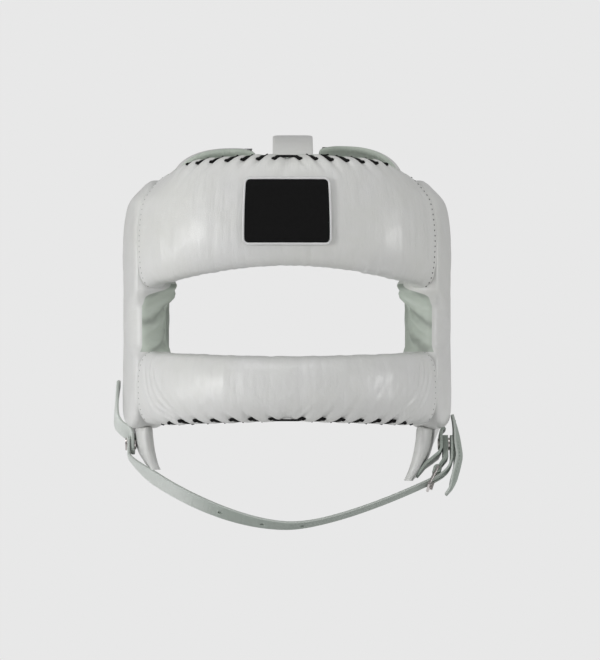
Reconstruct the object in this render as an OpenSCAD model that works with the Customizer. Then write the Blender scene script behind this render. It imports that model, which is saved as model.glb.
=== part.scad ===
// Boxing headgear with a padded face bar, -Y forwards, +Z up. Left and right are as seen from the front.
// The origin is the centre of the head cavity, level with the eye opening.

/* [Head cavity] */
// Width of the space for the head
head_w = 176; // [170:1:190]
// From the centre of the space forwards to the brow
head_front = 106; // [102:1:112]
// From the centre of the space back to the nape
head_back = 100; // [94:1:106]
// Squareness of the head space seen from above
head_power = 3.2; // [2.6:0.1:3.6]
// Squareness of the padding's outside seen from above
outer_power = 2.6; // [2.4:0.1:3]
// How far the padding leans in at the top of the head
lean_in = 9; // [4:1:12]

/* [Padding] */
// Thickness of the padding at the sides
side_t = 31; // [27:1:34]
// Thickness of the padding at the brow
brow_t = 32; // [28:1:36]
// Thickness of the leather covers
skin = 1.6; // [1.2:0.1:2]
// Space between a cover and its foam
foam_gap = 1; // [0.9:0.1:1.4]
// Space between neighbouring pads
pad_gap = 0.4; // [0.3:0.1:0.6]

/* [Eye opening] */
// Height of the brow pad's lower edge above the eyes, at its middle
brow_low = 28; // [24:1:34]
// How much lower that edge is at the temples
brow_arch = 11; // [6:1:14]
// How far the brow pad's corners dip into the ends of the eye opening
corner_dip = 12; // [4:1:14]
// Height of the brow pad's upper edge at its middle
brow_high = 105; // [100:1:108]
// How much lower that edge is at the temples
brow_drop = 8; // [4:1:12]
// Half angle of the brow pad and the bar, from the front to their side seams
seam_angle = 50; // [46:1:54]

/* [Face bar] */
// Depth of the bar's upper edge below the eyes, at its middle
bar_high = 31; // [28:1:36]
// Height of the bar's padding at its middle
bar_h = 45; // [40:1:50]
// How much taller the padding is at its ends, above and below
bar_flare = 4; // [1:1:6]
// How far the bar stands out in front of the brow pad
bar_reach = 14; // [8:1:20]
// Front to back thickness of the bar's padding at its middle
bar_t = 38; // [34:1:42]
// Diameter of the nylon rod inside the bar
rod_d = 14; // [12:1:18]

/* [Side pads] */
// Angle from the front to the rear edge of a side pad
side_rear = 121; // [118:1:126]
// Height of the side pad's upper edge
side_high = 98; // [94:1:102]
// Depth of the side pad's lower edge below the eyes
side_low = 85; // [82:1:88]
// Angle from the front to the middle of the ear hole
ear_angle = 92; // [88:1:96]
// Depth of the middle of the ear hole below the eyes
ear_drop = 8; // [4:1:14]
// Width of the ear hole
ear_w = 30; // [26:1:36]
// Height of the ear hole
ear_h = 50; // [44:1:56]

/* [Jaw flaps] */
// Angle from the front to a jaw flap's front edge
flap_front = 55; // [53:1:57]
// Width of a jaw flap where it leaves the side pad
flap_w = 70; // [60:1:76]
// Width of a jaw flap towards its tip
flap_tip_w = 24; // [20:1:28]
// Thickness of a jaw flap
flap_t = 11; // [9:1:12]
// How far the rear of a flap stands out further than its front
flap_bulge = 9; // [4:1:11]
// Length of the left flap
flap_length_left = 28; // [24:1:30]
// Length of the right flap, which the buckle pulls down
flap_length_right = 36; // [30:1:37]
// From the head side of the padding out to the middle of the left flap
flap_stand_left = 15; // [11:0.5:15.5]
// From the head side of the padding out to the middle of the right flap
flap_stand_right = 11; // [9:0.5:12]
// How far the left flap's tip leans inwards
flap_pull_left = 7.5; // [5:0.5:9]
// How far the right flap's tip is pulled inwards
flap_pull_right = 11.5; // [10:0.5:13]

/* [Back of the head] */
// Half angle left open at the back for the lacing
back_open = 16; // [14:1:20]
// Thickness of the pads at the back
back_t = 15; // [12:1:18]
// Height of the lower edge of the upper back pads
back_low = 40; // [38:1:44]
// Height of the upper edge of the upper back pads
back_high = 88; // [84:1:92]
// Depth of the upper edge of the nape pads below the eyes
nape_high = 37; // [36:1:42]
// Depth of the lower edge of the nape pads below the eyes
nape_low = 80; // [76:1:82]

/* [Crown] */
// Width of the strap over the crown
crown_strap_w = 28; // [24:1:32]
// Thickness of the strap over the crown
crown_strap_t = 3; // [2.5:0.5:4]
// Height of the strap's upper face at the top of the head
crown_high = 124.5; // [122:0.5:128]
// Thickness of the crown flaps
crown_flap_t = 5; // [4:0.5:7]
// Distance from the middle of the head to a crown flap's inner edge
crown_flap_in = 23; // [20:1:27]
// How far a crown flap's outer edge follows the rounding of the side pad outwards
crown_reach = 1.5; // [0:0.5:2]
// How far the crown strap lies to one side
crown_strap_off = 4; // [-5:1:5]

/* [Lacing] */
// Width of the lace
lace_w = 2.8; // [2.2:0.2:3.4]
// Thickness of the lace
lace_t = 0.9; // [0.7:0.1:1.1]
// Outer diameter of an eyelet
eyelet_d = 8; // [7:0.5:9]
// Bore of an eyelet
eyelet_bore = 4.4; // [4:0.2:5]
// Stitches of the whip lace along the brow
brow_stitches = 18; // [12:1:24]
// Stitches of the whip lace along the bar
bar_stitches = 17; // [12:1:24]
// Width of a lacing strip at the back
facing_w = 19; // [17:1:22]
// Thickness of a lacing strip at the back
facing_t = 2.4; // [2:0.2:3]

/* [Brow patch] */
// Width of the plain patch on the brow
patch_w = 58; // [50:1:64]
// Height of the plain patch on the brow
patch_h = 43; // [38:1:48]
// Thickness of the patch
patch_t = 1.2; // [0.8:0.1:2]

/* [Chin strap] */
// Width of the chin strap
strap_w = 17; // [14:1:18]
// Thickness of the chin strap
strap_t = 2.2; // [1.8:0.1:2.4]
// Depth of the strap's pivots below the eyes
pivot_drop = 95; // [94:1:98]
// Distance of the pivots in front of the middle of the head
pivot_fwd = 48; // [46:1:52]
// Lean of the hanging strap towards the front
strap_lean = 17; // [10:1:24]
// Drop of the strap's lowest point below its pivots
strap_drop = 58.8; // [56:0.2:62]
// Diameter of a rivet's shank
rivet_d = 4; // [3.6:0.1:4.4]
// Diameter of a rivet's head
rivet_head_d = 9; // [8:0.5:10]
// Radial clearance of a leather piece that turns on a rivet
turn_gap = 0.06; // [0.04:0.01:0.08]
// Diameter of the strap's holes
hole_d = 3.6; // [3:0.2:4]
// Distance between the strap's holes
hole_pitch = 27; // [24:1:30]

/* [Buckle] */
// Wire diameter of the buckle
wire_d = 2.2; // [2:0.1:2.4]
// Side clearance of the strap in the buckle
buckle_gap = 0.7; // [0.5:0.1:1]
// Thickness of the prong
prong_t = 2; // [1.8:0.1:2.2]
// Thickness of each ply of the leather loop that holds the buckle
loop_t = 1.8; // [1.6:0.1:2]
// Width of the leather loop that holds the buckle
loop_w = 14; // [12:1:15]

/* [Hidden] */
$fn = 48;

white_leather = [0.83, 0.83, 0.81];
lining_leather = [0.66, 0.70, 0.64];
strap_leather = [0.60, 0.65, 0.60];
black_lace = [0.04, 0.04, 0.04];
foam_colour = [0.86, 0.82, 0.70];
metal = [0.72, 0.72, 0.70];

lean_from = 40;
lean_span = 60;
brow_steps = 16;
bar_steps = 16;
ring_steps = 28;
band_steps = 6;
right_angle = 90;
// Length along the pads for one degree round the head
mm_per_degree = 1.95;
seat_gap = 0.3;

// Distance from the middle of a superellipse to its edge, at an angle from the front
function plan_radius(phi, half_w, half_l, power) =
    pow(pow(abs(sin(phi)) / half_w, power) + pow(abs(cos(phi)) / half_l, power), -1 / power);

// Point at an angle round the head, at a height, and at a share of the padding's thickness
function around(phi, z, share) =
    let (
        lean = lean_in * pow(max(z - lean_from, 0) / lean_span, 2),
        length = cos(phi) < 0 ? head_back : head_front,
        inner = plan_radius(phi, head_w / 2 - lean, length - lean, head_power),
        outer = plan_radius(phi, head_w / 2 + side_t - lean, length + brow_t - lean, outer_power),
        r = inner + share * (outer - inner)
    )
    [r * sin(phi), -r * cos(phi), z];

function bend(value, power) = sign(value) * pow(abs(value), 2 / power);
function mix(a, b, k) = a + (b - a) * k;
function bezier(p, t) =
    pow(1 - t, 3) * p[0] + 3 * t * pow(1 - t, 2) * p[1] + 3 * t * t * (1 - t) * p[2] + pow(t, 3) * p[3];
function unit(v) = v / norm(v);
function reversed(list) = [for (i = [len(list) - 1 : -1 : 0]) list[i]];

// Six times the volume that a set of faces encloses, negative when they face inwards
function swept_volume(points, faces) =
    [for (f = faces) 1] * [for (f = faces) points[f[0]] * cross(points[f[1]], points[f[2]])];

// Solid through loops of equal length, closed into a ring or capped at both ends
module loft(loops, closed = false) {
    n = len(loops[0]);
    m = len(loops);
    sides = [for (i = [0 : closed ? m - 1 : m - 2], j = [0 : n - 1])
        let (
            a = i * n + j,
            b = i * n + (j + 1) % n,
            c = (i + 1) % m * n + (j + 1) % n,
            d = (i + 1) % m * n + j
        )
        each [[a, c, b], [a, d, c]]];
    end = (m - 1) * n;
    caps = closed ? [] : [for (j = [0 : n / 2 - 2])
        each [
            [j, n - 2 - j, n - 1 - j], [j, j + 1, n - 2 - j],
            [end + j, end + n - 1 - j, end + n - 2 - j], [end + j, end + n - 2 - j, end + j + 1]
        ]];
    points = [for (l = loops) each l];
    faces = concat(sides, caps);
    polyhedron(
        points,
        swept_volume(points, faces) > 0 ? [for (f = faces) [f[2], f[1], f[0]]] : faces,
        convexity = 8
    );
}

// Strip of rectangular section along a path, each row is centre, width direction, face direction
module strip(rows, w, t) {
    loft([for (r = rows)
        [for (c = [[-1, -1], [1, -1], [1, 1], [-1, 1]])
            r[0] + r[1] * (c[0] * w / 2) + r[2] * (c[1] * t / 2)]]);
}

// Padded bands
// A band is swept round the head: its section is a soft rectangle between two heights and two shares
function band_point(phi, t, low, high, inside, outside, inset, power) =
    let (
        depth = norm(around(phi, 0, 1) - around(phi, 0, 0)),
        half = (outside - inside) / 2 - inset / depth,
        z = (low + high) / 2 + ((high - low) / 2 - inset) * bend(sin(t), power)
    )
    around(phi, z, (inside + outside) / 2 + half * bend(cos(t), power));

// Wall between two insets of a band's section, from one turn of the section to another
function band_wall(phi, low, high, inside, outside, power, from, to, steps, thick) = concat(
    [for (i = [0 : steps]) band_point(phi, mix(from, to, i / steps), low, high, inside, outside, 0, power)],
    [for (i = [steps : -1 : 0])
        band_point(phi, mix(from, to, i / steps), low, high, inside, outside, thick, power)]
);

// Full section of a band's foam
function band_core(phi, low, high, inside, outside, power, steps, inset) =
    [for (i = [0 : steps - 1])
        band_point(phi, (i + 0.5) * 360 / steps, low, high, inside, outside, inset, power)];

// Brow pad
brow_power = 3;
brow_seam_t = 76;
function brow_floor(phi) = brow_low - brow_arch * (1 - pow(cos(min(abs(phi) / 42, 1) * right_angle), 1.2))
    - corner_dip * pow(max(abs(phi) / seam_angle - 0.82, 0) / 0.18, 2);
function brow_roof(phi) = brow_high - brow_drop * pow(phi / seam_angle, 2);
brow_angles = [for (i = [0 : brow_steps]) mix(-seam_angle, seam_angle, i / brow_steps)];
// The brow pad and the bar reach this much past the seam angle, against the side pads' rounded edges
seam_fill = 0.22;
brow_end = seam_angle + seam_fill;
brow_lace_t = brow_seam_t + 1.5;

module brow_cover() {
    color(white_leather)
        loft([for (phi = brow_angles) band_wall(phi * brow_end / seam_angle, brow_floor(phi),
            brow_roof(phi), 0, 1, brow_power, -118, brow_seam_t, 11, skin)]);
}

module brow_lining() {
    color(lining_leather)
        loft([for (phi = brow_angles) band_wall(phi * brow_end / seam_angle, brow_floor(phi),
            brow_roof(phi), 0, 1, brow_power, brow_seam_t + 3, 239, 8, skin)]);
}

module brow_foam() {
    color(foam_colour)
        loft([for (phi = brow_angles) band_core(phi * brow_end / seam_angle, brow_floor(phi),
            brow_roof(phi), 0, 1, brow_power, 12, skin + foam_gap)]);
}

// Whip lace
// It runs both ways from a flat stitch in the middle: each turn crosses the seam on the leather,
// goes in through it and comes back behind it, with its width along the seam. The frame of a seam
// is its point, the leather's outward direction and the direction across the seam.
function seam_frame(phi, t, low, high, inside, outside, power, ahead) =
    let (
        p = band_point(phi, t, low, high, inside, outside, skin / 2, power),
        across = unit(band_point(phi, t + 3, low, high, inside, outside, 0, power)
            - band_point(phi, t - 3, low, high, inside, outside, 0, power)),
        middle = around(phi, (low + high) / 2, (inside + outside) / 2),
        normal = unit(cross(unit(ahead - p), across))
    )
    [p, normal * sign(normal * (p - middle)), across];

stitch_half = 4;
stitch_points = 6;
middle_stitch = 3;
whip_depth = (skin + lace_t) / 2 + 0.1;

module whip_lace(count, half_angle, slant, frame) {
    half = floor(count / 2) * stitch_points;
    place = function(i) i == 0 ? 0 : sign(i) * mix(middle_stitch, half_angle, (abs(i) - 1) / (half - 1));
    swing = function(i) i == 0 ? right_angle : right_angle + 360 * (abs(i) - 1) / stitch_points;
    seams = [for (i = [-half : half]) frame(place(i))];
    points = [for (i = [-half : half])
        let (seam = seams[i + half])
        seam[0] + seam[2] * (slant * stitch_half * cos(swing(i))) + seam[1] * (whip_depth * sin(swing(i)))];
    color(black_lace)
        strip([for (i = [-half : half])
            let (
                k = i + half,
                seam = seams[k],
                face = unit(seam[2] * (slant * cos(swing(i)) / stitch_half)
                    + seam[1] * (sin(swing(i)) / whip_depth)),
                wide = abs(i) < 2
                    ? unit(cross(face, points[k + 1] - points[k - 1]))
                    : cross(seam[1], seam[2]) * (-sign(i) * slant)
            )
            [points[k], wide, face]], lace_w, lace_t);
}

module brow_lace() {
    seam = function(phi) band_point(phi, brow_lace_t, brow_floor(phi), brow_roof(phi), 0, 1,
        skin / 2, brow_power);
    whip_lace(brow_stitches, seam_angle - 3, 1, function(phi)
        seam_frame(phi, brow_lace_t, brow_floor(phi), brow_roof(phi), 0, 1, brow_power, seam(phi + 1)));
}

module brow_patch() {
    half = patch_w / 2;
    steps = 6;
    at = function(x, z, share) let (phi = asin(x / (head_front + brow_t)),
        t = asin(pow(abs(z - brow_mid) / ((brow_high - brow_low) / 2), brow_power / 2)) * sign(z - brow_mid))
        band_point(phi, t, brow_floor(phi), brow_roof(phi), 0, 1, -share, brow_power);
    brow_mid = (brow_low + brow_high) / 2;
    color("black")
        loft([for (i = [0 : steps])
            let (x = mix(-half, half, i / steps))
            concat(
                [for (k = [0 : 4]) at(x, patch_mid + mix(-0.5, 0.5, k / 4) * patch_h, seat_gap + patch_t)],
                [for (k = [4 : -1 : 0]) at(x, patch_mid + mix(-0.5, 0.5, k / 4) * patch_h, seat_gap)]
            )]);
}
patch_mid = 65.5;

// Face bar
bar_power = 2.5;
bar_seam_t = -78;
bar_low = -bar_high - bar_h;
function bar_swell(phi) = pow(cos(phi / seam_angle * right_angle), 2);
function bar_floor(phi) = bar_low - bar_flare * (1 - bar_swell(phi));
function bar_roof(phi) = -bar_high + bar_flare / 2 * (1 - bar_swell(phi));
function bar_outside(phi) = 1 + bar_reach / brow_t * bar_swell(phi);
function bar_inside(phi) = (1 + (bar_reach - bar_t) / brow_t) * bar_swell(phi);
bar_angles = [for (i = [0 : bar_steps]) mix(-brow_end, brow_end, i / bar_steps)];

module bar_cover() {
    color(white_leather)
        loft([for (phi = bar_angles) band_wall(phi, bar_floor(phi), bar_roof(phi),
            bar_inside(phi), bar_outside(phi), bar_power, bar_seam_t + 2, bar_seam_t + 358, 16, skin)]);
}

function bar_middle(phi) = around(phi, (bar_floor(phi) + bar_roof(phi)) / 2,
    (bar_inside(phi) + bar_outside(phi)) / 2);

// Round bar along the middle of the padding, out to an angle on each side
module bar_round(r, half_angle) {
    loft([for (i = [0 : bar_steps])
        let (phi = mix(-half_angle, half_angle, i / bar_steps))
        [for (k = [0 : 9])
            bar_middle(phi) + [sin(phi), -cos(phi), 0] * (r * cos(36 * k)) + [0, 0, r * sin(36 * k)]]]);
}

module bar_rod() {
    color("ivory") bar_round(rod_d / 2, brow_end);
}

module bar_foam() {
    color(foam_colour)
        difference() {
            loft([for (phi = bar_angles) band_core(phi, bar_floor(phi), bar_roof(phi),
                bar_inside(phi), bar_outside(phi), bar_power, 12, skin + foam_gap)]);
            bar_round(rod_d / 2 + foam_gap, brow_end + 1);
        }
}

module bar_lace() {
    seam = function(phi) band_point(phi, bar_seam_t, bar_floor(phi), bar_roof(phi), bar_inside(phi),
        bar_outside(phi), skin / 2, bar_power);
    whip_lace(bar_stitches, seam_angle - 4, -1, function(phi)
        seam_frame(phi, bar_seam_t, bar_floor(phi), bar_roof(phi), bar_inside(phi), bar_outside(phi),
            bar_power, seam(phi + 1)));
}

// Side pads
// A side pad is a ring of padding round the ear hole, from the hole's edge to the pad's outline
function ring_power(alpha) = 3 + 4 * pow(max(-cos(alpha), 0), 2);
side_mid_angle = (seam_angle + side_rear) / 2;
side_mid_z = (side_high - side_low) / 2;
side_half_w = (side_rear - seam_angle) / 2 * mm_per_degree - pad_gap;
side_half_h = (side_high + side_low) / 2;
function outline_power(alpha) = cos(alpha) < 0 ? 8 : 4;

function side_share(phi) = phi < 100 ? 1 : mix(1, back_t / side_t, (phi - 100) / (side_rear - 100));

function ring_point(alpha, t, inset) =
    let (
        outline = plan_radius(right_angle - alpha, side_half_w, side_half_h, outline_power(alpha)),
        hole = plan_radius(right_angle - alpha, ear_w / 2, ear_h / 2, 2),
        edge = [side_mid_angle + outline * cos(alpha) / mm_per_degree, side_mid_z + outline * sin(alpha)],
        lip = [ear_angle + hole * cos(alpha) / mm_per_degree, -ear_drop + hole * sin(alpha)],
        span = norm([(edge[0] - lip[0]) * mm_per_degree, edge[1] - lip[1]]) / 2,
        along = (1 + bend(cos(t), ring_power(alpha)) * (1 - inset / span)) / 2,
        at = mix(lip, edge, along),
        share = side_share(at[0])
    )
    around(at[0], at[1], share / 2 + (share / 2 - inset / side_t) * bend(sin(t), ring_power(alpha)));

function ring_wall(alpha, from, to, steps, thick) = concat(
    [for (i = [0 : steps]) ring_point(alpha, mix(from, to, i / steps), 0)],
    [for (i = [steps : -1 : 0]) ring_point(alpha, mix(from, to, i / steps), thick)]
);
function ring_angles(steps) = [for (i = [0 : steps - 1]) 360 * i / steps];

module side_cover() {
    color(white_leather)
        loft([for (a = ring_angles(ring_steps)) ring_wall(a, 22, 158, 6, skin)], closed = true);
}

module side_lining() {
    color(lining_leather)
        loft([for (a = ring_angles(ring_steps)) ring_wall(a, 161, 379, 7, skin)], closed = true);
}

module side_foam() {
    color(foam_colour)
        loft([for (a = ring_angles(ring_steps))
            [for (k = [0 : 7]) ring_point(a, (k + 0.5) * 45, skin + foam_gap)]], closed = true);
}

module left_side() {
    mirror([1, 0, 0]) children();
}

module side_cover_left() {
    left_side() side_cover();
}

module side_cover_right() {
    side_cover();
}

module side_lining_left() {
    left_side() side_lining();
}

module side_lining_right() {
    side_lining();
}

module side_foam_left() {
    left_side() side_foam();
}

module side_foam_right() {
    side_foam();
}

// Jaw flaps
// A flap hangs from the side pad, narrows to a round tip past the strap's pivot and leans inwards
pivot_z = -pivot_drop;
flap_top = -side_low - pad_gap;
flap_rows = 7;
flap_power = 3;
flap_rear = [74, 90];

function flap_half(k) = mix(flap_w / 2, flap_tip_w / 2, pow(k, 0.7)) * pow(1 - pow(k, 6), 0.5);
function flap_swell(phi) = min(max((phi - flap_rear[0]) / (flap_rear[1] - flap_rear[0]), 0), 1);

function flap_point(k, t, inset, stand, length, pull) =
    let (
        z = flap_top - inset - k * (length - 2 * inset),
        half = max(flap_half(k) - inset, 1 - inset / 10) / mm_per_degree,
        middle = flap_front + flap_half(k) / mm_per_degree,
        phi = middle + half * bend(cos(t), flap_power),
        mid = stand - pull * k * k + flap_bulge * flap_swell(phi) * (1 - k),
        thick = flap_t * (1 - 0.55 * k * k) / 2 - inset
    )
    around(phi, z, (mid + thick * bend(sin(t), flap_power)) / side_t);

module flap_core(inset, stand, length, pull) {
    loft([for (i = [0 : flap_rows])
        [for (t = [0 : 11])
            flap_point(sin(right_angle * i / flap_rows) * 0.97, (t + 0.5) * 30, inset,
                stand, length, pull)]]);
}

module flap_cover(stand, length, pull) {
    color(white_leather)
        difference() {
            flap_core(0, stand, length, pull);
            flap_core(skin, stand, length, pull);
        }
}

module flap_foam(stand, length, pull) {
    color(foam_colour) flap_core(skin + foam_gap, stand, length, pull);
}

module jaw_flap_left() {
    left_side() flap_cover(flap_stand_left, flap_length_left, flap_pull_left);
}

module jaw_flap_right() {
    flap_cover(flap_stand_right, flap_length_right, flap_pull_right);
}

module jaw_foam_left() {
    left_side() flap_foam(flap_stand_left, flap_length_left, flap_pull_left);
}

module jaw_foam_right() {
    flap_foam(flap_stand_right, flap_length_right, flap_pull_right);
}

// Pads at the back of the head
// Each starts along the side pad's rear outline and ends straight at the lacing
back_share = back_t / brow_t;
back_in = 0.04;
back_power = 3;
back_points = 16;
// Room for the side pad's curved edge between the points of a back pad's straight one
edge_ease = 0.05;

function side_edge(z) =
    let (rise = min(abs(z - side_mid_z) / side_half_h, 0.97))
    side_mid_angle
        + side_half_w * pow(1 - pow(rise, outline_power(0)), 1 / outline_power(0)) / mm_per_degree;

function back_point(k, t, low, high, inset) =
    let (
        z = (low + high) / 2 + ((high - low) / 2 - inset) * bend(sin(t), back_power),
        start = side_edge(z) + (pad_gap + edge_ease + inset) / mm_per_degree,
        phi = mix(start, 180 - back_open - inset / mm_per_degree, k),
        half = (back_share - back_in) / 2 - inset / brow_t
    )
    around(phi, z, (back_in + back_share) / 2 + half * bend(cos(t), back_power));

module back_core(low, high, inset) {
    loft([for (i = [0 : band_steps])
        [for (k = [0 : back_points - 1])
            back_point(i / band_steps, right_angle + (k + 0.5) * 360 / back_points, low, high, inset)]]);
}

module back_cover(low, high) {
    color(white_leather)
        difference() {
            back_core(low, high, 0);
            back_core(low, high, skin);
        }
}

module back_foam(low, high) {
    color(foam_colour) back_core(low, high, skin + foam_gap);
}

module back_pad_left() {
    left_side() back_cover(back_low, back_high);
}

module back_pad_right() {
    back_cover(back_low, back_high);
}

module back_foam_left() {
    left_side() back_foam(back_low, back_high);
}

module back_foam_right() {
    back_foam(back_low, back_high);
}

module nape_pad_left() {
    left_side() back_cover(-nape_low, -nape_high);
}

module nape_pad_right() {
    back_cover(-nape_low, -nape_high);
}

module nape_foam_left() {
    left_side() back_foam(-nape_low, -nape_high);
}

module nape_foam_right() {
    back_foam(-nape_low, -nape_high);
}

// Lacing at the back
// Each lacing strip lies on the end of its pad and reaches towards the middle of the back
eyelet_inset = 5;
facing_margin = 3;
back_edge = around(180 - back_open, 0, back_share);
facing_y = back_edge[1] + seat_gap;
facing_out = back_edge[0] - facing_margin;
facing_in = facing_out - facing_w;
eyelet_x = facing_in + eyelet_inset;
function facing_low(low) = low + facing_margin;
function facing_high(high) = high - facing_margin - 1;
function eyelet_rows(low, high) =
    [for (k = [0 : 2]) mix(facing_low(low) + eyelet_inset + 2, facing_high(high) - eyelet_inset - 2, k / 2)];

module facing(low, high) {
    color(white_leather)
        difference() {
            translate([facing_in, facing_y, facing_low(low)])
                cube([facing_w + facing_margin + 2, facing_t, facing_high(high) - facing_low(low)]);
            for (z = eyelet_rows(low, high))
                translate([eyelet_x, facing_y - 1, z])
                    rotate([-right_angle, 0, 0])
                        cylinder(d = eyelet_bore + 1.6, h = facing_t + 2);
        }
}

module eyelet(depth) {
    rim = 0.8;
    color(black_lace)
        rotate_extrude()
            translate([eyelet_bore / 2, 0])
                union() {
                    translate([0, -rim - 0.05]) square([(eyelet_d - eyelet_bore) / 2, rim]);
                    square([rim - 0.05, depth]);
                    translate([0, depth + 0.05]) square([(eyelet_d - eyelet_bore) / 2, rim]);
                    translate([0, -0.1]) square([rim - 0.05, depth + 0.2]);
                }
}

module eyelet_pair(low, high) {
    for (side = [-1, 1], z = eyelet_rows(low, high))
        translate([side * eyelet_x, facing_y, z])
            rotate([-right_angle, 0, 0])
                eyelet(facing_t);
}

module back_facing_left() {
    left_side() facing(back_low, back_high);
}

module back_facing_right() {
    facing(back_low, back_high);
}

module nape_facing_left() {
    left_side() facing(-nape_low, -nape_high);
}

module nape_facing_right() {
    facing(-nape_low, -nape_high);
}

module back_eyelets() {
    eyelet_pair(back_low, back_high);
}

module nape_eyelets() {
    eyelet_pair(-nape_low, -nape_high);
}

// The lace crosses outside from each left eyelet down to the next right one, and back level inside
lace_out = facing_y + facing_t + 2.4;
lace_in = facing_y - 2.4;
function lace_turn(x, z, from_y, to_y) =
    [for (k = [0 : 4]) [x, mix(from_y, to_y, k / 4), z]];
function lace_route(low, high) =
    let (rows = eyelet_rows(low, high))
    concat(
        [[eyelet_x + 9, lace_out, rows[2] - 13], [eyelet_x + 4, lace_out, rows[2] - 4]],
        lace_turn(eyelet_x, rows[2], lace_out, lace_in), [[0, lace_in, rows[2]]],
        lace_turn(-eyelet_x, rows[2], lace_in, lace_out), [[0, lace_out, mix(rows[1], rows[2], 0.5)]],
        lace_turn(eyelet_x, rows[1], lace_out, lace_in), [[0, lace_in, rows[1]]],
        lace_turn(-eyelet_x, rows[1], lace_in, lace_out), [[0, lace_out, mix(rows[0], rows[1], 0.5)]],
        lace_turn(eyelet_x, rows[0], lace_out, lace_in), [[0, lace_in, rows[0]]],
        lace_turn(-eyelet_x, rows[0], lace_in, lace_out),
        [[-eyelet_x - 4, lace_out, rows[0] - 1], [-eyelet_x - 9, lace_out, rows[0] - 3]]
    );

module round_lace(points, d) {
    n = len(points);
    color(black_lace)
        loft([for (i = [0 : n - 1])
            let (
                along = unit(points[min(i + 1, n - 1)] - points[max(i - 1, 0)]),
                side = unit(cross([0, 0.05, 1], along)),
                other = cross(along, side)
            )
            [for (k = [0 : 5]) points[i] + side * (d / 2 * cos(60 * k)) + other * (d / 2 * sin(60 * k))]]);
}

module back_lace() {
    round_lace(lace_route(back_low, back_high), 2.6);
}

module nape_lace() {
    round_lace(lace_route(-nape_low, -nape_high), 2.6);
}

// A tongue of soft leather lies inside, behind each lacing
tongue_t = 2.5;
tongue_y = facing_y - 4.1 - tongue_t;
tongue_drop = 3;
module tongue(low, high) {
    half = facing_out - 2;
    color(lining_leather)
        loft([for (i = [0 : 6])
            let (x = mix(-half, half, i / 6), y = tongue_y - tongue_drop * pow(x / half, 2))
            [[x, y, low], [x, y, high], [x, y + tongue_t, high], [x, y + tongue_t, low]]]);
}

module back_tongue() {
    tongue(back_low - 2, back_high + 4);
}

module nape_tongue() {
    tongue(-nape_low, -nape_high);
}

// Crown
// The strap rises from inside the brow pad, arches over the head and runs down to the tongue
crown_front_z = brow_high - 28;
crown_front = around(0, crown_front_z, 0)[1] + seat_gap + crown_strap_t / 2;
crown_back = tongue_y - tongue_drop * pow((crown_strap_w / 2 + crown_strap_off) / (facing_out - 2), 2)
    - seat_gap - crown_strap_t / 2;
crown_steps = 14;
function crown_path(k) =
    let (
        top = crown_high - crown_strap_t / 2,
        back = [crown_back, back_high - 6]
    )
    k < 0.5
        ? bezier([[crown_front, crown_front_z], [crown_front + 3, top - 2], [-60, top], [0, top]], k * 2)
        : bezier([[0, top], [40, top], [back[0], top - 8], back], k * 2 - 1);

module crown_strap() {
    color(white_leather)
        strip([for (i = [0 : crown_steps])
            let (
                k = i / crown_steps,
                p = crown_path(k),
                q = crown_path(min(k + 0.01, 1)) - crown_path(max(k - 0.01, 0)),
                d = unit(q)
            )
            [[crown_strap_off, p[0], p[1]], [1, 0, 0], [0, -d[1], d[0]]]], crown_strap_w, crown_strap_t);
}

// A crown flap starts upright along the inside of the side pad and arches over to its inner edge
crown_rows = 8;
crown_points = 7;
crown_flap_front = 55;
crown_flap_back = 58;
crown_edge_z = 84;
crown_ridge_x = crown_flap_in + 14;
crown_ridge_z = 112.5;
crown_arch = 2.5;

function crown_edge_x(y) =
    let (lean = lean_in * pow((crown_edge_z - lean_from) / lean_span, 2))
    head_w / 2 * pow(1 - pow(abs(y) / head_back, head_power), 1 / head_power) - lean + crown_reach
        - seat_gap - crown_flap_t / 2;

// The first part of the way across is the arch, the last quarter is the flatter inner edge
function crown_flap_point(k, s, level) =
    let (
        y = (s < 0 ? crown_flap_front : crown_flap_back) * s * mix(1, 0.86, k * k),
        a = right_angle * max(1 - k / 0.75, 0),
        wide = crown_edge_x(y) - crown_ridge_x,
        high = crown_ridge_z - crown_edge_z,
        inner = max(k - 0.75, 0) / 0.25,
        x = crown_ridge_x + wide * bend(sin(a), crown_arch) - inner * (crown_ridge_x - crown_flap_in),
        z = crown_edge_z + high * bend(cos(a), crown_arch) - 2 * inner * inner + 1.7
            - 3 * pow((y + 10) / 60, 2),
        normal = unit([sin(a) * high, 0, cos(a) * wide + 0.001])
    )
    [x, y, z] + normal * (crown_flap_t * level);

module crown_flap() {
    color(white_leather)
        loft([for (i = [0 : crown_rows])
            let (s = mix(-1, 1, i / crown_rows), edge = pow(1 - pow(abs(s), 5), 0.25) * 0.85 + 0.15)
            concat(
                [for (k = [0 : crown_points]) crown_flap_point(k / crown_points, s, edge / 2)],
                [for (k = [crown_points : -1 : 0]) crown_flap_point(k / crown_points, s, -edge / 2)]
            )]);
}

module crown_flap_left() {
    left_side() crown_flap();
}

module crown_flap_right() {
    crown_flap();
}

crown_eyelet_x = crown_flap_in + 6;
crown_eyelet_rows = [-36, -12, 12, 36];
crown_seat = 0.5;
crown_eyelet_k = 0.75 + 0.25 * (crown_ridge_x - crown_eyelet_x) / (crown_ridge_x - crown_flap_in);
function crown_eyelet_z(y) =
    crown_flap_point(crown_eyelet_k, y / (y < 0 ? crown_flap_front : crown_flap_back), 0)[2];

module crown_eyelets() {
    color(black_lace)
        for (side = [-1, 1], y = crown_eyelet_rows)
            translate([side * crown_eyelet_x, y, crown_eyelet_z(y) + crown_flap_t / 2 + crown_seat])
                rotate_extrude()
                    translate([eyelet_bore / 2, 0])
                        square([(eyelet_d - eyelet_bore) / 2, 0.8]);
}

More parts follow.
